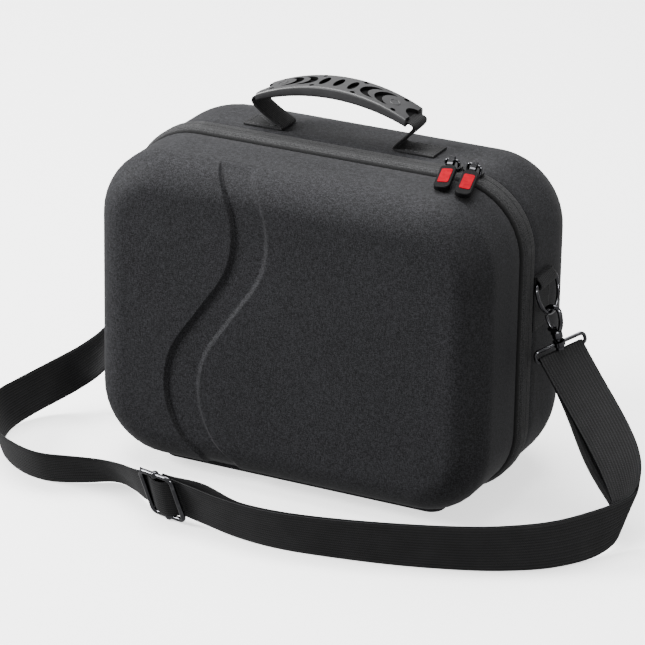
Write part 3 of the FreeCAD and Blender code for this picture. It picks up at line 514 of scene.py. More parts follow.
def clear_selection() -> None:
    """Leave edit mode and deselect everything."""
    if bpy.context.object and bpy.context.object.mode != "OBJECT":
        bpy.ops.object.mode_set(mode="OBJECT")
    bpy.ops.object.select_all(action="DESELECT")


def activate(piece: Piece) -> None:
    """Select one piece alone."""
    clear_selection()
    piece.select_set(True)
    bpy.context.view_layer.objects.active = piece


def dress(piece: Piece, material: Material) -> None:
    """Give a piece one material."""
    piece.data.materials.clear()
    piece.data.materials.append(material)


def smooth(piece: Piece, degrees: float = 40.0) -> None:
    """Shade a piece smooth up to an angle."""
    activate(piece)
    bpy.ops.object.shade_smooth_by_angle(angle=math.radians(degrees))


@contextmanager
def editing(piece: Piece) -> Iterator[None]:
    """Hold a piece in edit mode with all of it selected."""
    activate(piece)
    bpy.ops.object.mode_set(mode="EDIT")
    bpy.ops.mesh.select_all(action="SELECT")
    yield
    bpy.ops.object.mode_set(mode="OBJECT")


def turn_outward(piece: Piece, merge: float = 0.0) -> None:
    """Turn a piece's faces outward.

    Args:
        piece: The piece.
        merge: Distance in metres up to which points are joined first.
    """
    with editing(piece):
        if merge:
            bpy.ops.mesh.remove_doubles(threshold=merge)
        bpy.ops.mesh.normals_make_consistent(inside=False)


def linked(name: str, data: bpy.types.ID) -> Piece:
    """Put a mesh, curve, lamp or camera into the scene under a name."""
    piece = bpy.data.objects.new(name, data)
    bpy.context.scene.collection.objects.link(piece)
    return piece


def solid(name: str, points: Sequence, faces: Sequence) -> Piece:
    """Make a piece from points in metres and faces, turned outward."""
    mesh = bpy.data.meshes.new(name)
    mesh.from_pydata(points, [], faces)
    mesh.update()
    piece = linked(name, mesh)
    turn_outward(piece)
    return piece


def skin(name: str, rings: np.ndarray, ends: Edge, chart: np.ndarray | None = None) -> Piece:
    """Stretch a skin over closed rings of points.

    Args:
        name: Name of the piece.
        rings: Points in metres, ring by ring, as an array of rings, points and 3.
        ends: Whether the first and last rings are filled.
        chart: Map of the same rings and points, in metres across and along.

    Returns:
        The piece, with its place in its mesh.
    """
    count, width, _ = rings.shape
    index = np.arange(count * width).reshape(count, width)
    faces = []
    corners = []
    for ring in range(count - 1):
        for step in range(width):
            after = (step + 1) % width
            quad = [(ring, step), (ring, after), (ring + 1, after), (ring + 1, step)]
            faces.append([int(index[place]) for place in quad])
            corners.append(quad)
    if ends is Edge.CLOSED:
        faces.append([int(v) for v in index[0][::-1]])
        corners.append([(0, step) for step in range(width)][::-1])
        faces.append([int(v) for v in index[-1]])
        corners.append([(count - 1, step) for step in range(width)])
    mesh = bpy.data.meshes.new(name)
    mesh.from_pydata(rings.reshape(-1, 3).tolist(), [], faces)
    if chart is not None:
        layer = mesh.uv_layers.new(name="webbing")
        flat = [tuple(chart[place]) for quad in corners for place in quad]
        layer.data.foreach_set("uv", np.asarray(flat, dtype=float).ravel())
    mesh.update()
    piece = linked(name, mesh)
    turn_outward(piece)
    return piece


def keep_side(piece: Piece, height: float, upper: bool) -> None:
    """Cut a piece level at a height, keep one side and close the cut."""
    with editing(piece):
        bpy.ops.mesh.bisect(plane_co=(0, 0, height), plane_no=(0, 0, 1), use_fill=True,
                            clear_inner=upper, clear_outer=not upper)


def bevelled_block(name: str, low: tuple, high: tuple, upright: float, rim: float) -> Piece:
    """Shape a block with rounded upright edges and softened rims.

    Args:
        name: Name of the piece.
        low: Lowest corner in millimetres.
        high: Highest corner in millimetres.
        upright: Radius of the upright edges in millimetres.
        rim: Radius of the other edges in millimetres.

    Returns:
        The piece.
    """
    clear_selection()
    middle = [(a + b) / 2 * MM for a, b in zip(low, high)]
    bpy.ops.mesh.primitive_cube_add(size=1.0, location=middle)
    piece = bpy.context.object
    piece.name = name
    piece.scale = [(b - a) * MM for a, b in zip(low, high)]
    bpy.ops.object.transform_apply(location=True, rotation=True, scale=True)
    bpy.ops.object.mode_set(mode="EDIT")
    bpy.ops.mesh.select_mode(type="EDGE")
    bpy.ops.mesh.select_all(action="DESELECT")
    bpy.ops.object.mode_set(mode="OBJECT")
    mesh = piece.data
    for edge in mesh.edges:
        first, last = [mesh.vertices[v].co for v in edge.vertices]
        edge.select = abs(first.z - last.z) > (high[2] - low[2]) * MM * 0.9
    bpy.ops.object.mode_set(mode="EDIT")
    bpy.ops.mesh.bevel(offset=upright * MM, segments=10, affect="EDGES")
    bpy.ops.mesh.select_all(action="DESELECT")
    # Only the top and the bottom have more than eight sides.
    bpy.ops.mesh.select_face_by_sides(number=8, type="GREATER")
    bpy.ops.mesh.region_to_loop()
    bpy.ops.mesh.bevel(offset=rim * MM, segments=3, affect="EDGES")
    bpy.ops.object.mode_set(mode="OBJECT")
    smooth(piece)
    return piece


def foot_block(name: str, near: float, far: float) -> Piece:
    """Foot under one half of the case, between two places along the depth in millimetres."""
    return bevelled_block(name, (-FOOT_HALF, near, 0), (FOOT_HALF, far, FOOT_HEIGHT), FOOT_CORNER, FOOT_RIM)


def unit(vectors: np.ndarray) -> np.ndarray:
    """Vectors of length one."""
    return vectors / np.linalg.norm(vectors, axis=-1, keepdims=True)


def eased(share: np.ndarray) -> np.ndarray:
    """Shares held between 0 and 1, with a soft start and end."""
    held = np.clip(share, 0, 1)
    return held ** 2 * (3 - 2 * held)


def travelled(line: np.ndarray) -> np.ndarray:
    """Distance from the start at each point of a line."""
    return np.concatenate([[0.0], np.cumsum(np.linalg.norm(np.diff(line, axis=0), axis=1))])


@dataclass(frozen=True)
class SeamOutline:
    """Rounded rectangle that the shells and the zip band share, in millimetres."""

    width: float = 276.0
    height: float = 209.0
    corner: float = 45.0
    middle: float = 113.5
    front_face: float = -89.1
    front_rim: float = -30.1
    back_rim: float = -9.6
    back_face: float = 89.1

    def loop(self, proud: float, depth: float, corner: float | None = None, run: int = 20) -> np.ndarray:
        """Points round the outline.

        Args:
            proud: How far outside the seam the loop runs.
            depth: Place along the depth.
            corner: Corner radius where it isn't concentric.
            run: Steps along each side.

        Returns:
            Points in millimetres, clockwise from the top left as seen from the front.
        """
        a = self.width / 2 + proud
        b = self.height / 2 + proud
        r = self.corner + proud if corner is None else corner
        steps = 14
        points = []
        corners = [(a - r, b - r, 90), (a - r, r - b, 0), (r - a, r - b, -90), (r - a, b - r, 180)]
        for index, (x, z, start) in enumerate(corners):
            last_x, last_z, _ = corners[index - 1]
            turn = math.radians(start)
            begin = (last_x + r * math.cos(turn), last_z + r * math.sin(turn))
            end = (x + r * math.cos(turn), z + r * math.sin(turn))
            for step in range(run):
                share = step / run
                points.append([first + (last - first) * share for first, last in zip(begin, end)])
            for step in range(steps):
                turn = math.radians(start - 90 * step / steps)
                points.append((x + r * math.cos(turn), z + r * math.sin(turn)))
        return np.array([(x, depth, self.middle + z) for x, z in points])


SEAM = SeamOutline()


def upright_points(place: np.ndarray, depth: float, aside: np.ndarray) -> np.ndarray:
    """Points at one depth from their places on the outline, moved sideways, in millimetres."""
    return np.stack([place[:, 0] + aside, np.full(len(place), depth), place[:, 1] + SEAM.middle], axis=1)


@dataclass
class LidShell:
    """Front half: a rounded lid with a sunk S channel, a hollow inside and a foot."""

    proud: float = 2.0
    edge: float = 23.4
    wall: float = 5.0
    wave_depth: float = 2.3
    wave_width: float = 24.0
    wave_radius: float = 62.0
    wave_limit: float = 0.80
    upper: tuple = (-98.0, 176.0)
    lower: tuple = (-23.0, 67.0)
    soft: float = 1.1
    slope: float = 2.3
    fade: tuple = (60.0, 87.0)
    side_depths: tuple = (-55.0, -44.0)
    hollow_depth: float = -50.0
    foot_depths: tuple = (-61.1, -39.1)
    columns: tuple = (24, 9, 7, 11, 46)

    def wave_line(self, z: np.ndarray) -> np.ndarray:
        """Left edge of the channel at each height: two bends and the straight run between them."""
        across = np.subtract(self.lower, self.upper)
        lean = math.atan2(across[1], across[0]) + math.acos(2 * self.wave_radius / float(np.hypot(*across)))
        top = self.upper[1] + self.wave_radius * math.sin(lean)
        low = self.lower[1] - self.wave_radius * math.sin(lean)
        top_x = self.upper[0] + self.wave_radius * math.cos(lean)
        low_x = self.lower[0] - self.wave_radius * math.cos(lean)
        limit = self.wave_radius * self.wave_limit
        rise = np.clip(z - self.upper[1], -limit, limit)
        fall = np.clip(z - self.lower[1], -limit, limit)
        upper = self.upper[0] + np.sqrt(self.wave_radius ** 2 - rise ** 2)
        lower = self.lower[0] - np.sqrt(self.wave_radius ** 2 - fall ** 2)
        run = low_x + (z - low) / (top - low) * (top_x - low_x)
        return np.where(z > top, upper, np.where(z < low, lower, run))

    def sink(self, points: np.ndarray, normals: np.ndarray, share: float) -> np.ndarray:
        """Press the channel into points of the front.

        Args:
            points: Points in millimetres.
            normals: Outward directions there.
            share: How much of the channel's depth is left there.

        Returns:
            The moved points.
        """
        left = self.wave_line(points[..., 2])
        steep = eased((points[..., 0] - left + self.soft) / (2 * self.soft))
        gentle = eased((left + self.wave_width - points[..., 0] + self.slope) / (2 * self.slope))
        depth = self.wave_depth * share * steep * gentle
        return points - normals * depth[..., None]

    def slide(self, start: np.ndarray, height: np.ndarray) -> np.ndarray:
        """How far points slide sideways over the rounded edge to keep to the channel.

        Args:
            start: Points round the flat front, in millimetres.
            height: Heights that they have reached.

        Returns:
            Sideways steps in millimetres, fading out towards the corners.
        """
        reach = SEAM.width / 2 - SEAM.corner
        left = self.wave_line(start[:, 2])
        before = np.clip((start[:, 0] + reach) / (left + reach), 0, 1)
        after = np.clip((reach - start[:, 0]) / (reach - left - self.wave_width), 0, 1)
        return (self.wave_line(height) - left) * np.minimum(before, after)

    def flat_size(self) -> tuple[float, float, float]:
        """Half width, half height and corner radius of the flat front."""
        inset = self.proud - self.edge
        return SEAM.width / 2 + inset, SEAM.height / 2 + inset, SEAM.corner + inset

    def rows(self, b: float, r: float) -> np.ndarray:
        """Heights of the front face's rows, closer together round its corners."""
        turn = np.radians(np.linspace(0, 90, 11))
        round_off = (b - r) + r * np.sin(turn)
        straight = np.linspace(-(b - r), b - r, 90)[1:-1]
        return np.concatenate([-round_off[::-1], straight, round_off])

    def front_grid(self) -> np.ndarray:
        """Rows and columns of the flat front, its columns following the channel."""
        a, b, r = self.flat_size()
        near = 1.6 * self.soft
        far = 1.3 * self.slope
        grid = []
        for height in self.rows(b, r):
            over = max(0.0, abs(height) - (b - r))
            half = a - r + math.sqrt(max(0.0, r * r - over * over))
            z = SEAM.middle + height
            left = float(self.wave_line(np.array([z]))[0])
            right = left + self.wave_width
            marks = (-half, left - near, left + near, right - far, right + far)
            stops = [np.linspace(first, last, count, endpoint=False)
                     for first, last, count in zip(marks, marks[1:], self.columns)]
            stops.append(np.linspace(marks[-1], half, self.columns[-1]))
            grid.append([(x, SEAM.front_face, z) for x in np.concatenate(stops)])
        return np.array(grid)

    def stations(self) -> list[tuple[float, float]]:
        """Offset and depth of each ring behind the rounded edge: the side, the rim and the hollow."""
        rim = SEAM.front_rim
        inner = self.edge - self.wall
        line = [(self.edge, depth) for depth in (*self.side_depths, rim - 1.0)]
        line += [(self.edge - 0.3, rim - 0.3), (self.edge - 1.0, rim)]
        line += [(inner + 1.0, rim), (inner, rim - 1.0), (inner, self.hollow_depth)]
        line += [(inner * math.cos(turn), SEAM.front_face + self.edge - inner * math.sin(turn))
                 for turn in np.radians(np.linspace(0, 88, 8))]
        return line

    def rings(self, border: np.ndarray) -> list[np.ndarray]:
        """Rings of points over the rounded edge, along the side and up the hollow.

        Args:
            border: Points round the flat front, in millimetres.

        Returns:
            Rings of as many points, in millimetres.
        """
        a, b, r = self.flat_size()
        flat = border[:, [0, 2]] - np.array([0, SEAM.middle])
        normal = unit(flat - np.clip(flat, [-(a - r), -(b - r)], [a - r, b - r]))
        made = []
        for turn in np.radians(np.linspace(4.5, 90, 20)):
            place = flat + normal * (self.edge * math.sin(turn))
            depth = SEAM.front_face + self.edge * (1 - math.cos(turn))
            aside = self.slide(border, place[:, 1] + SEAM.middle)
            ring = upright_points(place, depth, aside)
            outward = np.insert(normal * math.sin(turn), 1, -math.cos(turn), axis=1)
            left = (self.fade[1] - math.degrees(turn)) / (self.fade[1] - self.fade[0])
            made.append(self.sink(ring, outward, float(eased(left))))
        for offset, depth in self.stations():
            made.append(upright_points(flat + normal * offset, depth, aside))
        return made

    def build(self) -> Piece:
        """Join the front grid, its rounded edge, the sides and the hollow."""
        grid = self.front_grid()
        rows, columns, _ = grid.shape
        number = np.arange(rows * columns).reshape(rows, columns)
        border = np.concatenate([number[-1, :], number[-2:0:-1, -1], number[0, ::-1], number[1:-1, 0]])
        points = self.sink(grid, np.array([0.0, -1.0, 0.0]), 1.0).reshape(-1, 3)
        rings = self.rings(grid.reshape(-1, 3)[border])
        corners = [number[:-1, :-1], number[:-1, 1:], number[1:, 1:], number[1:, :-1]]
        faces = np.stack(corners, axis=-1).reshape(-1, 4).tolist()
        before = border
        for index in range(len(rings)):
            here = np.arange(len(border)) + rows * columns + index * len(border)
            sides = [before, np.roll(before, -1), np.roll(here, -1), here]
            faces += np.stack(sides, axis=-1).tolist()
            before = here
        faces.append(before.tolist())
        everything = np.concatenate([points] + rings) * MM
        piece = solid("lid_cover", everything.tolist(), faces)
        smooth(piece, 50.0)
        return piece

    def assemble(self, cloth: Material) -> None:
        """Put the lid's cover and foot on the lid."""
        cover = self.build()
        dress(cover, cloth)
        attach(cover, "lid")
        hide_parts("front_shell")
        foot = foot_block("lid_foot", *self.foot_depths)
        dress(foot, cloth)
        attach(foot, "lid")
        LOG.info("lid cover and foot")


@dataclass
class BackShell:
    """Deep half: straight sides that close in a soft, pillowed back, with a hollow and a foot."""

    proud: float = 3.0
    edge: float = 65.5
    corner_share: float = 0.5
    wall: float = 5.0
    steps: int = 22
    side_depths: tuple = (12.0, 0.0)
    foot_depths: tuple = (0.9, 22.9)

    def ring(self, inset: float, turn: float) -> np.ndarray:
        """One loop of the pillow at a turn of its rounding."""
        radius = self.edge - inset
        close = radius * (1 - math.cos(turn))
        depth = SEAM.back_face - self.edge + radius * math.sin(turn)
        proud = self.proud - inset - close
        corner = SEAM.corner + self.proud - inset - close * self.corner_share
        return SEAM.loop(proud, depth, corner)

    def build(self) -> Piece:
        """Run loops over the outside from the back to the rim and then inside again."""
        turns = np.radians(np.linspace(90, 0, self.steps))
        rings = [self.ring(0.0, turn) for turn in turns]
        rim = SEAM.back_rim
        line = [(0.0, depth) for depth in (*self.side_depths, rim + 1.0)]
        line += [(0.3, rim + 0.3), (1.0, rim), (self.wall - 1.0, rim), (self.wall, rim + 1.0)]
        rings += [SEAM.loop(self.proud - inset, depth) for inset, depth in line]
        rings += [self.ring(self.wall, turn) for turn in turns[::-1]]
        piece = skin("back_cover", np.array(rings) * MM, Edge.CLOSED)
        smooth(piece, 50.0)
        return piece

    def assemble(self, cloth: Material) -> None:
        """Put the deep cover and its foot on the case."""
        cover = self.build()
        dress(cover, cloth)
        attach(cover, "case")
        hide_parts("back_shell")
        foot = foot_block("back_foot", *self.foot_depths)
        dress(foot, cloth)
        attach(foot, "case")
        LOG.info("deep cover and foot")


def spline_points(control: np.ndarray, dense: int) -> np.ndarray:
    """Points along the smooth curve that a route's points steer.

    Args:
        control: Route points in metres.
        dense: Points per step of the route.

    Returns:
        Points in metres.
    """
    curve = bpy.data.curves.new("route", "CURVE")
    curve.dimensions = "3D"
    spline = curve.splines.new("NURBS")
    spline.points.add(len(control) - 1)
    for place, value in zip(spline.points, control):
        place.co = (*value, 1.0)
    spline.order_u = 3
    spline.use_endpoint_u = True
    spline.resolution_u = dense
    route = linked("route", curve)
    mesh = bpy.data.meshes.new_from_object(route)
    points = np.array([tuple(v.co) for v in mesh.vertices])
    bpy.data.objects.remove(route)
    bpy.data.curves.remove(curve)
    bpy.data.meshes.remove(mesh)
    return points


def ribbon(name: str, centre: np.ndarray, across: np.ndarray, thick: float) -> Piece:
    """Flat webbing along a line.

    Args:
        name: Name of the piece.
        centre: Points along the middle, in metres.
        across: Half-width vectors at those points, in metres.
        thick: Thickness in metres.

    Returns:
        A closed ribbon with rounded selvedges and its map in metres.
    """
    along = unit(np.gradient(centre, axis=0))
    face = unit(np.cross(along, across))
    half = np.linalg.norm(across, axis=1)
    travel = travelled(centre)
    columns = np.linspace(-1, 1, 17)
    lift = np.clip((1 - np.abs(columns)) / SELVEDGE, 0, 1) ** 0.5
    section = [(c, 0.5 * max(level, SELVEDGE_RIM)) for c, level in zip(columns, lift)]
    section += [(c, -level) for c, level in section[::-1]]
    rings = np.array([centre + across * c + face * (thick * level) for c, level in section])
    chart = np.array([np.stack([half * c, travel], axis=1) for c, _ in section])
    piece = skin(name, rings.transpose(1, 0, 2), Edge.CLOSED, chart.transpose(1, 0, 2))
    smooth(piece, 45.0)
    return piece


def folded_ribbon(name: str, control: Sequence, across: np.ndarray, thick: float, dense: int = 8) -> Piece:
    """Flat webbing of one width direction along a route.

    Args:
        name: Name of the piece.
        control: Route points in millimetres.
        across: Half-width vector in metres.
        thick: Thickness in metres.
        dense: Points per step of the route.

    Returns:
        The ribbon.
    """
    centre = spline_points(np.array(control) * MM, dense)
    return ribbon(name, centre, np.tile(across, (len(centre), 1)), thick)


def stitches(name: str, corners: np.ndarray, up: np.ndarray, thread: float = 0.32) -> Piece:
    """Sewn thread along a line of corners.

    Args:
        name: Name of the piece.
        corners: Corners of the line, in millimetres.
        up: Direction off the cloth.
        thread: Half the thread's thickness in millimetres.

    Returns:
        One piece with a short rounded bead for each stitch.
    """
    points = []
    faces = []
    sides = 6
    stitch = 3.2
    gap = 0.14
    stations = ((0.0, 0.35), (0.18, 1.0), (0.82, 1.0), (1.0, 0.35))
    for first, last in zip(corners[:-1], corners[1:]):
        span = float(np.linalg.norm(last - first))
        along = (last - first) / span
        aside = np.cross(along, up)
        count = max(1, round(span / stitch))
        for step in range(count):
            begin = first + along * (span * (step + gap) / count)
            reach = along * (span * (1 - 2 * gap) / count)
            start = len(points)
            for share, size in stations:
                for turn in np.arange(sides) * (TURN / sides):
                    lift = up * math.sin(turn) + aside * math.cos(turn)
                    points.append((begin + reach * share + lift * (thread * size)) * MM)
            for ring in range(start, len(points) - sides, sides):
                for side in range(sides):
                    near = ring + side
                    beside = ring + (side + 1) % sides
                    faces.append((near, beside, beside + sides, near + sides))
            faces.append(tuple(range(start, start + sides)))
            faces.append(tuple(range(len(points) - sides, len(points))))
    piece = solid(name, [tuple(point) for point in points], faces)
    smooth(piece, 60.0)
    return piece


@dataclass
class ZipBand:
    """Domed band of ribbed tape round the case, with the coil in its middle and a hinge strip below."""

    crest: float = 5.0
    gauge: float = 1.6
    front_bend: tuple = (-23.0, 6.0, 196.0)
    back_bend: tuple = (-14.9, 4.6, -18.0)
    front_end: float = -19.3
    back_end: float = -18.9
    cut: float = 12.0

    def shoulder(self, bend: tuple) -> list[list]:
        """Outer and inner line of a rounded shoulder, as depth and proudness from its foot to the crest."""
        depth, radius, start = bend
        centre = self.crest - radius
        turns = np.radians(np.linspace(start, 90, 10))
        return [[(depth + reach * math.cos(turn), centre + reach * math.sin(turn)) for turn in turns]
                for reach in (radius, radius - self.gauge)]

    def run_on(self, lines: list[list], end: float) -> list[list]:
        """Both lines of a shoulder, run on level to the tape's edge."""
        levels = (self.crest, self.crest - self.gauge)
        return [line + [(end, level)] for line, level in zip(lines, levels)]

    def tape(self, name: str, outer: list, inner: list) -> Piece:
        """Closed tape with the given outer and inner lines."""
        line = outer + inner[::-1] + outer[:1]
        rings = np.array([SEAM.loop(proud, depth, run=40) for depth, proud in line]) * MM
        piece = skin(name, rings, Edge.OPEN)
        turn_outward(piece, 1e-6)
        return piece

    def assemble(self, cloth: Material) -> None:
        """Put the two tapes and the hinge strip on."""
        fronts = self.shoulder(self.front_bend)
        backs = self.shoulder(self.back_bend)
        front = self.tape("tape_front", *self.run_on(fronts, self.front_end))
        back = self.tape("tape_back", *self.run_on(backs, self.back_end))
        hinge = self.tape("hinge_cover", *(ahead + behind[::-1] for ahead, behind in zip(fronts, backs)))
        for piece, body, node in ((front, "lid", "zipper_tape_front"), (back, "case", "zipper_tape_back")):
            keep_side(piece, self.cut * MM, True)
            smooth(piece, 50.0)
            dress(piece, cloth)
            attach(piece, body)
            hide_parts(node)
        keep_side(hinge, (self.cut - 0.3) * MM, False)
        smooth(hinge, 50.0)
        dress(hinge, cloth)
        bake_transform(hinge)
        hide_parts("hinge_strip")
        LOG.info("zip band")


@dataclass
class CarryingHandle:
    """Webbing sewn to the top of the case, arched through a moulded grip."""

    shift: float = -4.0
    low: float = -2.8
    high: float = 18.2
    gauge: float = 1.8
    grip_middle: float = -8.5
    grip_crown: float = 257.7
    grip_bend: float = 0.00415
    grip_face: float = 12.3
    window_depths: tuple = (1.5, 2.9)
    ring_place: float = 40.6
    ring_height: float = 251.0
    ring_radius: float = 3.3
    ring_wire: float = 0.32
    ring_lean: float = 18.0
    seam_reach: tuple = (47.5, 67.0)
    seam_margin: float = 2.2
    right_route: tuple = (
        (69, 221.9), (56, 221.9), (46, 221.9), (41.4, 221.9), (39.7, 223.0), (41.4, 225.4), (46.2, 230.0),
        (51.4, 235.0), (54.2, 238.4), (53.8, 240.7), (50.4, 241.9), (47, 242.96), (36, 246.5), (26, 249.75),
        (19.8, 251.76), (8, 251.76))
    left_route: tuple = (
        (-17, 251.76), (-28.8, 251.76), (-35, 249.75), (-45, 246.5), (-56, 242.96), (-59.5, 241.9),
        (-62.7, 240.6), (-63.2, 238.2), (-59.6, 234.4), (-52.6, 229.6), (-44.6, 225.2), (-40.4, 223.0),
        (-41.8, 221.9), (-46, 221.9), (-56, 221.9), (-69, 221.9))

    def moulding(self, rubber: Material, shade: Material) -> Piece:
        """The moulded grip, its sunk window faces painted near black as shade in the windows over the dark
        webbing.
        """
        piece = merged_copy("handle_grip", "grip_moulding")
        smooth(piece, 35.0)
        dress(piece, rubber)
        piece.data.materials.append(shade)
        middle = (self.low + self.high) / 2
        places = np.array([vertex.co for vertex in piece.data.vertices]) / MM
        drop = self.grip_crown - self.grip_bend * (places[:, 0] - self.grip_middle) ** 2 - places[:, 2]
        for face in piece.data.polygons:
            lowest = max(drop[corner] for corner in face.vertices)
            sunk = self.window_depths[0] < lowest < self.window_depths[1]
            # Painted shade: the sunk window faces get the near-black shade finish.
            if sunk and abs(face.center.y / MM - middle) < self.grip_face:
                face.material_index = 1
        return piece

    def assemble(self, webbing: Material, rubber: Material, shade: Material, thread: Material) -> None:
        """Lay the webbing along its route, sew its ends and finish the grip."""
        middle = (self.low + self.high) / 2
        control = [(self.shift + x, middle, z) for x, z in self.right_route + self.left_route]
        across = np.array([0, (self.high - self.low) / 2 * MM, 0])
        band = folded_ribbon("handle_band", control, across, self.gauge * MM, 10)
        dress(band, webbing)
        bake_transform(band)
        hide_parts("handle_webbing")
        front = self.low + self.seam_margin
        rear = self.high - self.seam_margin
        top = self.right_route[0][1] + self.gauge / 2
        for side, hand in ((-1, "left"), (1, "right")):
            inner, outer = (self.shift + side * reach for reach in self.seam_reach)
            square = [(inner, front), (outer, front), (outer, rear), (inner, rear)]
            diagonal = [(inner, front), (outer, rear)]
            corners = np.array([(x, y, top) for x, y in square + diagonal])
            seam = stitches(f"handle_seam_{hand}", corners, np.array([0.0, 0.0, 1.0]))
            dress(seam, thread)
            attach(seam, "case")
        grip = self.moulding(rubber, shade)
        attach(grip, "handle")
        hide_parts("handle_grip")
        for side, hand in ((-1, "left"), (1, "right")):
            place = (self.grip_middle + side * self.ring_place, middle, self.ring_height)
            clear_selection()
            bpy.ops.mesh.primitive_torus_add(
                major_segments=40, minor_segments=8,
                major_radius=self.ring_radius * MM, minor_radius=self.ring_wire * MM,
                location=[value * MM for value in place],
                rotation=(0, side * math.radians(self.ring_lean), 0))
            mark = bpy.context.object
            mark.name = f"grip_ring_{hand}"
            bpy.ops.object.transform_apply(location=True, rotation=True, scale=True)
            smooth(mark, 60.0)
            dress(mark, rubber)
            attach(mark, "handle")
        LOG.info("carrying handle")


@dataclass
class ShoulderStrap:
    """Clip-on strap: a doubled run from the right hook and a single one from the left, with an adjuster."""

    half_width: ClassVar[float] = 16.0
    dense: ClassVar[int] = 8
    short_leaf: ClassVar[int] = 16
    gauge: float = 1.5
    leaf: float = 0.85
    wire: float = 1.25
    slack: float = 5.0
    drift: float = 5.5
    slack_run: float = 118.0
    tail_gap: float = 2.5
    tail_rise: float = 2.4
    tail_run: float = 64.0
    settle: float = 0.75
    settle_height: float = 19.0
    settle_span: float = 2.0
    fold_seat: float = 5.0
    fold_ease: float = 0.3
    wire_ease: float = 0.1
    turn_ease: float = 0.6
    right_bar: tuple = (156.6, 4.7, 101.2)
    left_bar: tuple = (-156.6, 4.7, 101.2)
    right_rows: tuple = (
        ((157.9, 4.3, 100.1), (0.61, 0.74, 0.28)), ((172, -1, 84.5), (0.61, 0.75, 0.25)),
        ((188, -10, 71), (0.54, 0.77, 0.34)), ((203, -19, 58), (0.50, 0.77, 0.40)),
        ((216, -29, 46), (0.40, 0.76, 0.51)), ((225, -38, 33), (0.26, 0.66, 0.71)),
        ((227, -46, 20.5), (0.18, 0.45, 0.87)), ((222, -57, 17.5), (0.09, 0.45, 0.89)),
        ((216, -73, 17.3), (0.03, 0.22, 0.97)), ((205, -91, 17), (0, 0, 1)),
        ((193, -105, 17), (0, -0.05, 1)), ((174, -119, 17), (0, -0.12, 0.99)),
        ((154, -130, 17), (0, -0.17, 0.98)), ((113, -145, 16.8), (0, -0.22, 0.97)),
        ((68, -156, 16.5), (0, -0.31, 0.95)), ((32, -161.5, 16.3), (0, -0.34, 0.94)),
        ((0, -160, 17), (0, -0.37, 0.93)), ((-27, -156, 19), (0.01, -0.39, 0.92)),
        ((-49.5, -153, 21), (0.02, -0.39, 0.92)),
    )
    left_rows: tuple = (
        ((-156.6, 3.9, 99.4), (-0.61, 0.74, 0.28)), ((-159, -2, 82), (-0.58, 0.70, 0.34)),
        ((-162, -8, 64), (-0.40, 0.60, 0.60)), ((-171, -16, 46), (-0.10, 0.30, 0.95)),
        ((-184, -23, 34), (0, 0.10, 0.99)), ((-198, -32, 24.5), (0, 0.05, 1)),
        ((-207, -46, 19.5), (0, 0, 1)), ((-213, -63, 17), (-0.05, 0, 1)),
        ((-214, -81, 16.8), (-0.20, -0.07, 0.98)), ((-207, -101, 16.5), (-0.21, -0.18, 0.96)),
        ((-196, -118, 16.2), (-0.22, -0.26, 0.94)), ((-179, -133, 15.8), (-0.18, -0.38, 0.91)),
        ((-161, -141, 15.4), (-0.08, -0.46, 0.88)), ((-144, -143, 15), (-0.05, -0.53, 0.85)),
        ((-125, -134, 14.5), (-0.21, -0.58, 0.79)), ((-107, -124, 14), (-0.06, -0.67, 0.74)),
        ((-88, -131, 15.3), (-0.05, -0.57, 0.82)), ((-70, -146, 18.5), (-0.02, -0.47, 0.88)),
        ((-49.5, -153, 21), (0.02, -0.39, 0.92)),
    )

    def line(self, rows: Sequence[tuple]) -> tuple[np.ndarray, np.ndarray]:
        """Middle line and half-width vectors of a strap run.

        Args:
            rows: Middle point in millimetres and width direction of each route point.

        Returns:
            Points along the middle and half-width vectors there, in metres.
        """
        middle = np.array([row[0] for row in rows], dtype=float)
        low = np.clip((self.settle_height - middle[:, 2]) / self.settle_span, 0.0, 1.0)
        middle[:, 2] -= self.settle * low
        middle *= MM
        aside = middle + unit(np.array([row[1] for row in rows])) * self.half_width * MM
        centre = spline_points(middle, self.dense)
        return centre, spline_points(aside, self.dense) - centre

    def leaves(self, name: str, centre: np.ndarray, across: np.ndarray, counts: Sequence[int],
               free: float) -> Piece:
        """Webbing in two layers, the inner one slack and a little astray below the hook.

        Args:
            name: Name of the piece.
            centre: Middle line in metres.
            across: Half-width vectors in metres.
            counts: How many points each layer covers.
            free: How much of the slack shows, from 0 to 1.

        Returns:
            One piece with all its layers.
        """
        face = unit(np.cross(unit(np.gradient(centre, axis=0)), across))
        travel = travelled(centre) / MM
        loose = free * np.sin(np.pi * np.minimum(travel / self.slack_run, 1.0) ** 1.4)[:, None] ** 2
        tail = free * np.sin(np.pi * np.minimum((travel[-1] - travel) / self.tail_run, 1.0))[:, None] ** 2
        width = unit(across)
        lift = face * ((self.leaf + self.tail_gap * tail) * MM)
        drop = face * ((self.leaf + self.slack * loose) * MM)
        outer = centre + lift + width * (self.tail_rise * tail * MM)
        inner = centre - drop - width * (self.drift * loose * MM)
        made = [ribbon(name, line[:count], across[:count], self.gauge * MM)
                for line, count in zip((outer, inner), counts)]
        clear_selection()
        for piece in made:
            piece.select_set(True)
        bpy.context.view_layer.objects.active = made[0]
        bpy.ops.object.join()
        return made[0]

    def fold(self, name: str, bar: Sequence[float], rows: Sequence[tuple]) -> Piece:
        """Webbing turned round a hook's loop, from one layer of the run to the other."""
        start = np.array(rows[0][0])
        across = unit(np.array(rows[0][1]))
        away = unit(np.array(rows[1][0]) - start)
        face = unit(np.cross(away, across))
        turn = self.wire + self.gauge / 2 + self.wire_ease
        middle = np.array(bar)
        seat = start + away * self.fold_seat
        near = self.leaf + self.fold_ease
        profile = [
            seat + face * self.leaf, start + face * near, middle + face * turn,
            middle + face * turn - away * turn, middle - away * turn, middle - face * turn - away * turn,
            middle - face * turn, start - face * near, seat - face * self.leaf]
        return folded_ribbon(name, profile, across * self.half_width * MM, self.gauge * MM)

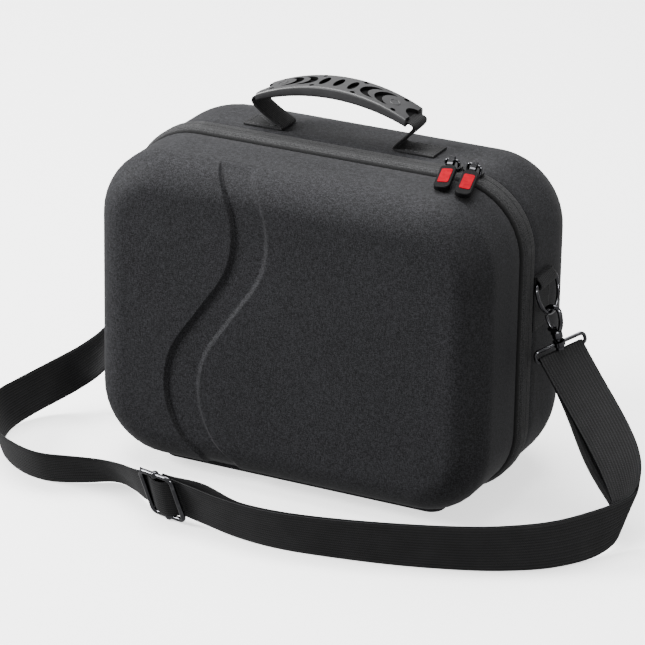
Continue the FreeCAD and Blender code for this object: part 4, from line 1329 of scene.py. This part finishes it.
    def turn_over(self) -> Piece:
        """Webbing that comes forward over the adjuster's bar between its two runs."""
        across = unit(np.array(self.right_rows[-1][1]))
        end = np.array(self.right_rows[-1][0])
        along = unit(np.array(self.right_rows[-2][0]) - end)
        front = -unit(np.cross(across, along))
        if front[1] > 0:
            front = -front
        half = self.half_width - self.turn_ease
        climb = [(17, 0.6), (13, 0.8), (9.5, 2.2), (5, 5.6), (2.2, 6.5)]
        profile = climb + [(-run, lift) for run, lift in climb[::-1]]
        control = [end + along * run + front * lift for run, lift in profile]
        return folded_ribbon("strap_turn", control, across * half * MM, self.gauge * MM)

    def assemble(self, webbing: Material) -> None:
        turn = self.turn_over()
        dress(turn, webbing)
        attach(turn, "case")
        runs = (("right", self.right_rows, self.right_bar), ("left", self.left_rows, self.left_bar))
        for side, rows, bar in runs:
            centre, across = self.line(rows)
            whole = len(centre)
            doubled = side == "right"
            counts = (whole, whole if doubled else self.short_leaf)
            run = self.leaves(f"strap_{side}", centre, across, counts, float(doubled))
            fold = self.fold(f"strap_fold_{side}", bar, rows)
            dress(run, webbing)
            dress(fold, webbing)
            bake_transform(run)
            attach(fold, f"loop_{side}")
            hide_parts(f"strap_webbing_{side}")


@dataclass(frozen=True)
class TabSeat:
    """Where the tab of a side ring sits, in millimetres."""

    sign: float
    wall: float
    proud: float
    middle: float
    half: float
    bottom: float
    top: float

    @classmethod
    def of(cls, side: str) -> "TabSeat":
        """Read the seat from the box of the tab's CAD node."""
        low, high = (np.array(corner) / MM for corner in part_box(f"ring_tab_{side}"))
        return cls(
            sign=1.0 if side == "right" else -1.0,
            wall=min(abs(low[0]), abs(high[0])),
            proud=high[0] - low[0],
            middle=(low[1] + high[1]) / 2,
            half=(high[1] - low[1]) / 2,
            bottom=low[2],
            top=high[2],
        )


@dataclass
class SideFittings:
    """Ring tabs of webbing and the blackened metal rings, hooks, gates and loops."""

    gauge: float = 1.6
    patch_gauge: float = 1.2
    patch_drop: float = 31.0
    patch_lap: float = 1.5
    seam_margin: float = 2.2
    seam_head: float = 4.0
    seam_foot: float = 2.0
    seam_thread: float = 0.2
    metal_nodes: tuple = ("d_ring", "snap_hook", "hook_gate", "gate_pin", "swivel_loop")

    def tab(self, side: str) -> Piece:
        """Webbing folded round the ring's bar and sewn to the side."""
        seat = TabSeat.of(side)
        outer = seat.proud / 2
        bar = seat.bottom + outer
        rise = seat.top - bar
        near = seat.wall + self.gauge / 2
        far = seat.wall + seat.proud - self.gauge / 2
        under = seat.bottom + self.gauge / 2
        rows = [
            (near + self.gauge * 0.9, seat.top), (near + self.gauge, bar + 0.75 * rise),
            (far - 0.9, bar + 0.45 * rise), (far, bar + 0.1 * rise), (far, bar - outer * 0.35),
            (far - 0.6, under), (seat.wall + outer, under), (near + 0.6, under),
            (near, bar - outer * 0.35), (near, bar + 0.5 * rise), (near, seat.top)]
        control = [(seat.sign * x, seat.middle, z) for x, z in rows]
        return folded_ribbon(f"tab_{side}", control, np.array([0, seat.half * MM, 0]), self.gauge * MM)

    def patch(self, side: str) -> tuple[Piece, Piece]:
        """Webbing sewn flat to the side below the ring, and its sewing thread."""
        seat = TabSeat.of(side)
        top = seat.bottom + self.patch_lap
        bottom = top - self.patch_drop
        heights = np.linspace(top, bottom, 24)
        place = seat.sign * (seat.wall + self.patch_gauge / 2)
        centre = np.array([(place, seat.middle, z) for z in heights]) * MM
        across = np.tile(np.array([0, seat.half * MM, 0]), (len(centre), 1))
        strip = ribbon(f"patch_{side}", centre, across, self.patch_gauge * MM)
        face = seat.sign * (seat.wall + self.patch_gauge)
        front = seat.middle - seat.half + self.seam_margin
        rear = seat.middle + seat.half - self.seam_margin
        head = top - self.seam_head
        base = bottom + self.seam_foot
        square = [(front, head), (front, base), (rear, base), (rear, head)]
        corners = np.array([(face, y, z) for y, z in square])
        outward = np.array([seat.sign, 0.0, 0.0])
        seam = stitches(f"patch_seam_{side}", corners, outward, self.seam_thread)
        return strip, seam

    def assemble(self, webbing: Material, metal: Material, thread: Material) -> None:
        """Make the tabs and finish the metal."""
        for side in ("right", "left"):
            for piece, finish in zip(self.patch(side), (webbing, thread)):
                dress(piece, finish)
                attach(piece, "case")
            tab = self.tab(side)
            dress(tab, webbing)
            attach(tab, "case")
            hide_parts(f"ring_tab_{side}")
            for node in self.metal_nodes:
                finish_node(f"{node}_{side}", metal)
        for node in ("strap_adjuster", "adjuster_bar"):
            finish_node(node, metal)
        LOG.info("side fittings")


def finish_node(node: str, material: Material) -> None:
    """Give a CAD node a finish."""
    holder = bpy.data.objects[node]
    if not holder.material_slots:
        holder.data.materials.append(material)
    for place in holder.material_slots:
        place.material = material


def merged_copy(node: str, name: str) -> Piece:
    """A copy of a CAD node with its triangles joined up."""
    source = bpy.data.objects[node]
    mesh = source.data.copy()
    mesh.transform(source.matrix_world)
    piece = linked(name, mesh)
    activate(piece)
    bpy.ops.mesh.customdata_custom_splitnormals_clear()
    turn_outward(piece, 2e-5)
    return piece


@dataclass
class Lining:
    """Moulded foam bed in the deep half and a mesh pocket in the lid."""

    voxel: float = 2.4

    def assemble(self, foam: Material, mesh: Material, binding: Material) -> None:
        """Soften the foam and dress the pocket."""
        bed = merged_copy("foam_insert", "foam_bed")
        remesh = bed.modifiers.new("soften", "REMESH")
        remesh.mode = "VOXEL"
        remesh.voxel_size = self.voxel * MM
        bpy.ops.object.modifier_apply(modifier=remesh.name)
        with editing(bed):
            bpy.ops.mesh.vertices_smooth(factor=0.5, repeat=4)
        smooth(bed, 60.0)
        dress(bed, foam)
        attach(bed, "case")
        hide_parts("foam_insert")
        pocket = merged_copy("mesh_pocket", "pocket_net")
        smooth(pocket, 40.0)
        dress(pocket, mesh)
        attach(pocket, "lid")
        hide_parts("mesh_pocket")
        edge = merged_copy("pocket_binding", "pocket_edge")
        smooth(edge, 40.0)
        dress(edge, binding)
        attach(edge, "lid")
        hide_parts("pocket_binding")
        LOG.info("foam bed and mesh pocket")


@dataclass
class ZipPulls:
    """Sliders, links and rubber pulls with a plain red field."""

    def assemble(self, metal: Material, rubber: Material, field: Material, coil: Material) -> None:
        """Finish the nodes of both pulls and the coil."""
        for side in ("left", "right"):
            finish_node(f"zip_slider_{side}", metal)
            finish_node(f"pull_link_{side}", metal)
            finish_node(f"pull_tab_{side}", rubber)
            finish_node(f"pull_badge_{side}", field)
        for half in ("front", "back"):
            finish_node(f"zipper_coil_{half}", coil)
        LOG.info("zip pulls and coil")


@dataclass
class Studio:
    """Pale floor, white surroundings, soft lamps and the photograph's view."""

    aim: tuple = (0.0, -0.03011, 0.11244)
    azimuth: float = 26.07
    elevation: float = 21.97
    roll: float = 0.94
    distance: float = 2.590
    lens: float = 220.3
    shift: tuple = (0.00136, -0.0181)
    floor_side: float = 12.0
    sky_strength: float = 0.72
    soft_lamps: tuple = (
        ("top", (-0.5, 0.30, 2.3), 2.0, 136.0),
        ("left_key", (-1.9, -1.0, 1.10), 0.7, 130.0),
    )
    glint_lamp: tuple = ("right_glint", (1.5, -1.3, 0.8), 0.45, 40.0)

    def camera(self) -> None:
        """Stand the camera where the photograph was taken."""
        a, e, c = (math.radians(v) for v in (self.azimuth, self.elevation, self.roll))
        back = Vector((math.sin(a) * math.cos(e), -math.cos(a) * math.cos(e), math.sin(e)))
        level = Vector((math.cos(a), math.sin(a), 0))
        rise = back.cross(level)
        right = level * math.cos(c) + rise * math.sin(c)
        up = rise * math.cos(c) - level * math.sin(c)
        eye = Vector(self.aim) + back * self.distance
        data = bpy.data.cameras.new("view")
        data.sensor_width = 36.0
        data.lens = self.lens
        data.shift_x, data.shift_y = self.shift
        holder = linked("view", data)
        columns = [(*axis, 0.0) for axis in (right, up, back)]
        holder.matrix_world = Matrix((*columns, (*eye, 1.0))).transposed()
        bpy.context.scene.camera = holder

    def lamp(self, name: str, place: tuple, size: float, power: float) -> Piece:
        """Hang one soft square lamp that looks at the case.

        Args:
            name: Name of the lamp.
            place: Where it hangs, in metres.
            size: Its side in metres.
            power: Its power in watts.

        Returns:
            The lamp's object.
        """
        data = bpy.data.lights.new(name, "AREA")
        data.size = size
        data.energy = power
        holder = linked(name, data)
        holder.location = place
        look = Vector(self.aim) - Vector(place)
        holder.rotation_euler = look.to_track_quat("-Z", "Y").to_euler()
        return holder

    def build(self) -> None:
        """Lay the floor and light the scene."""
        clear_selection()
        bpy.ops.mesh.primitive_plane_add(size=self.floor_side, location=(0, 0, 0))
        floor = bpy.context.object
        floor.name = "floor"
        dress(floor, PaleGround().material())
        # The ground gives the case neither light nor reflections, as on the photograph.
        floor.visible_diffuse = False
        floor.visible_glossy = False
        world = bpy.data.worlds.new("surroundings")
        bpy.context.scene.world = world
        world.use_nodes = True
        sky = world.node_tree.nodes["Background"]
        sky.inputs["Color"].default_value = (1.0, 1.0, 1.0, 1.0)
        sky.inputs["Strength"].default_value = self.sky_strength
        for lamp in self.soft_lamps:
            self.lamp(*lamp)
        glint = self.lamp(*self.glint_lamp)
        glint.visible_diffuse = False
        self.camera()
        LOG.info("studio")


def main() -> None:
    """Dress the whole case and set the scene."""
    logging.basicConfig(level=logging.INFO)
    cloth = HeatherCloth().material()
    tape = RibbedTape().material()
    webbing = RibbedWebbing().material()
    metal = BlackNickel().material()
    grip, shade, rubber, thread = (
        finish.material() for finish in (GRIP_RUBBER, WINDOW_SHADE, PULL_RUBBER, SEWING_THREAD))
    LidShell().assemble(cloth)
    BackShell().assemble(cloth)
    ZipBand().assemble(tape)
    CarryingHandle().assemble(webbing, grip, shade, thread)
    SideFittings().assemble(webbing, metal, thread)
    ShoulderStrap().assemble(webbing)
    Lining().assemble(NappedFoam().material(), KnittedMesh().material(), tape)
    ZipPulls().assemble(metal, rubber, RedInlay().material(), NylonCoil().material())
    Studio().build()


if __name__ == "__main__":
    main()
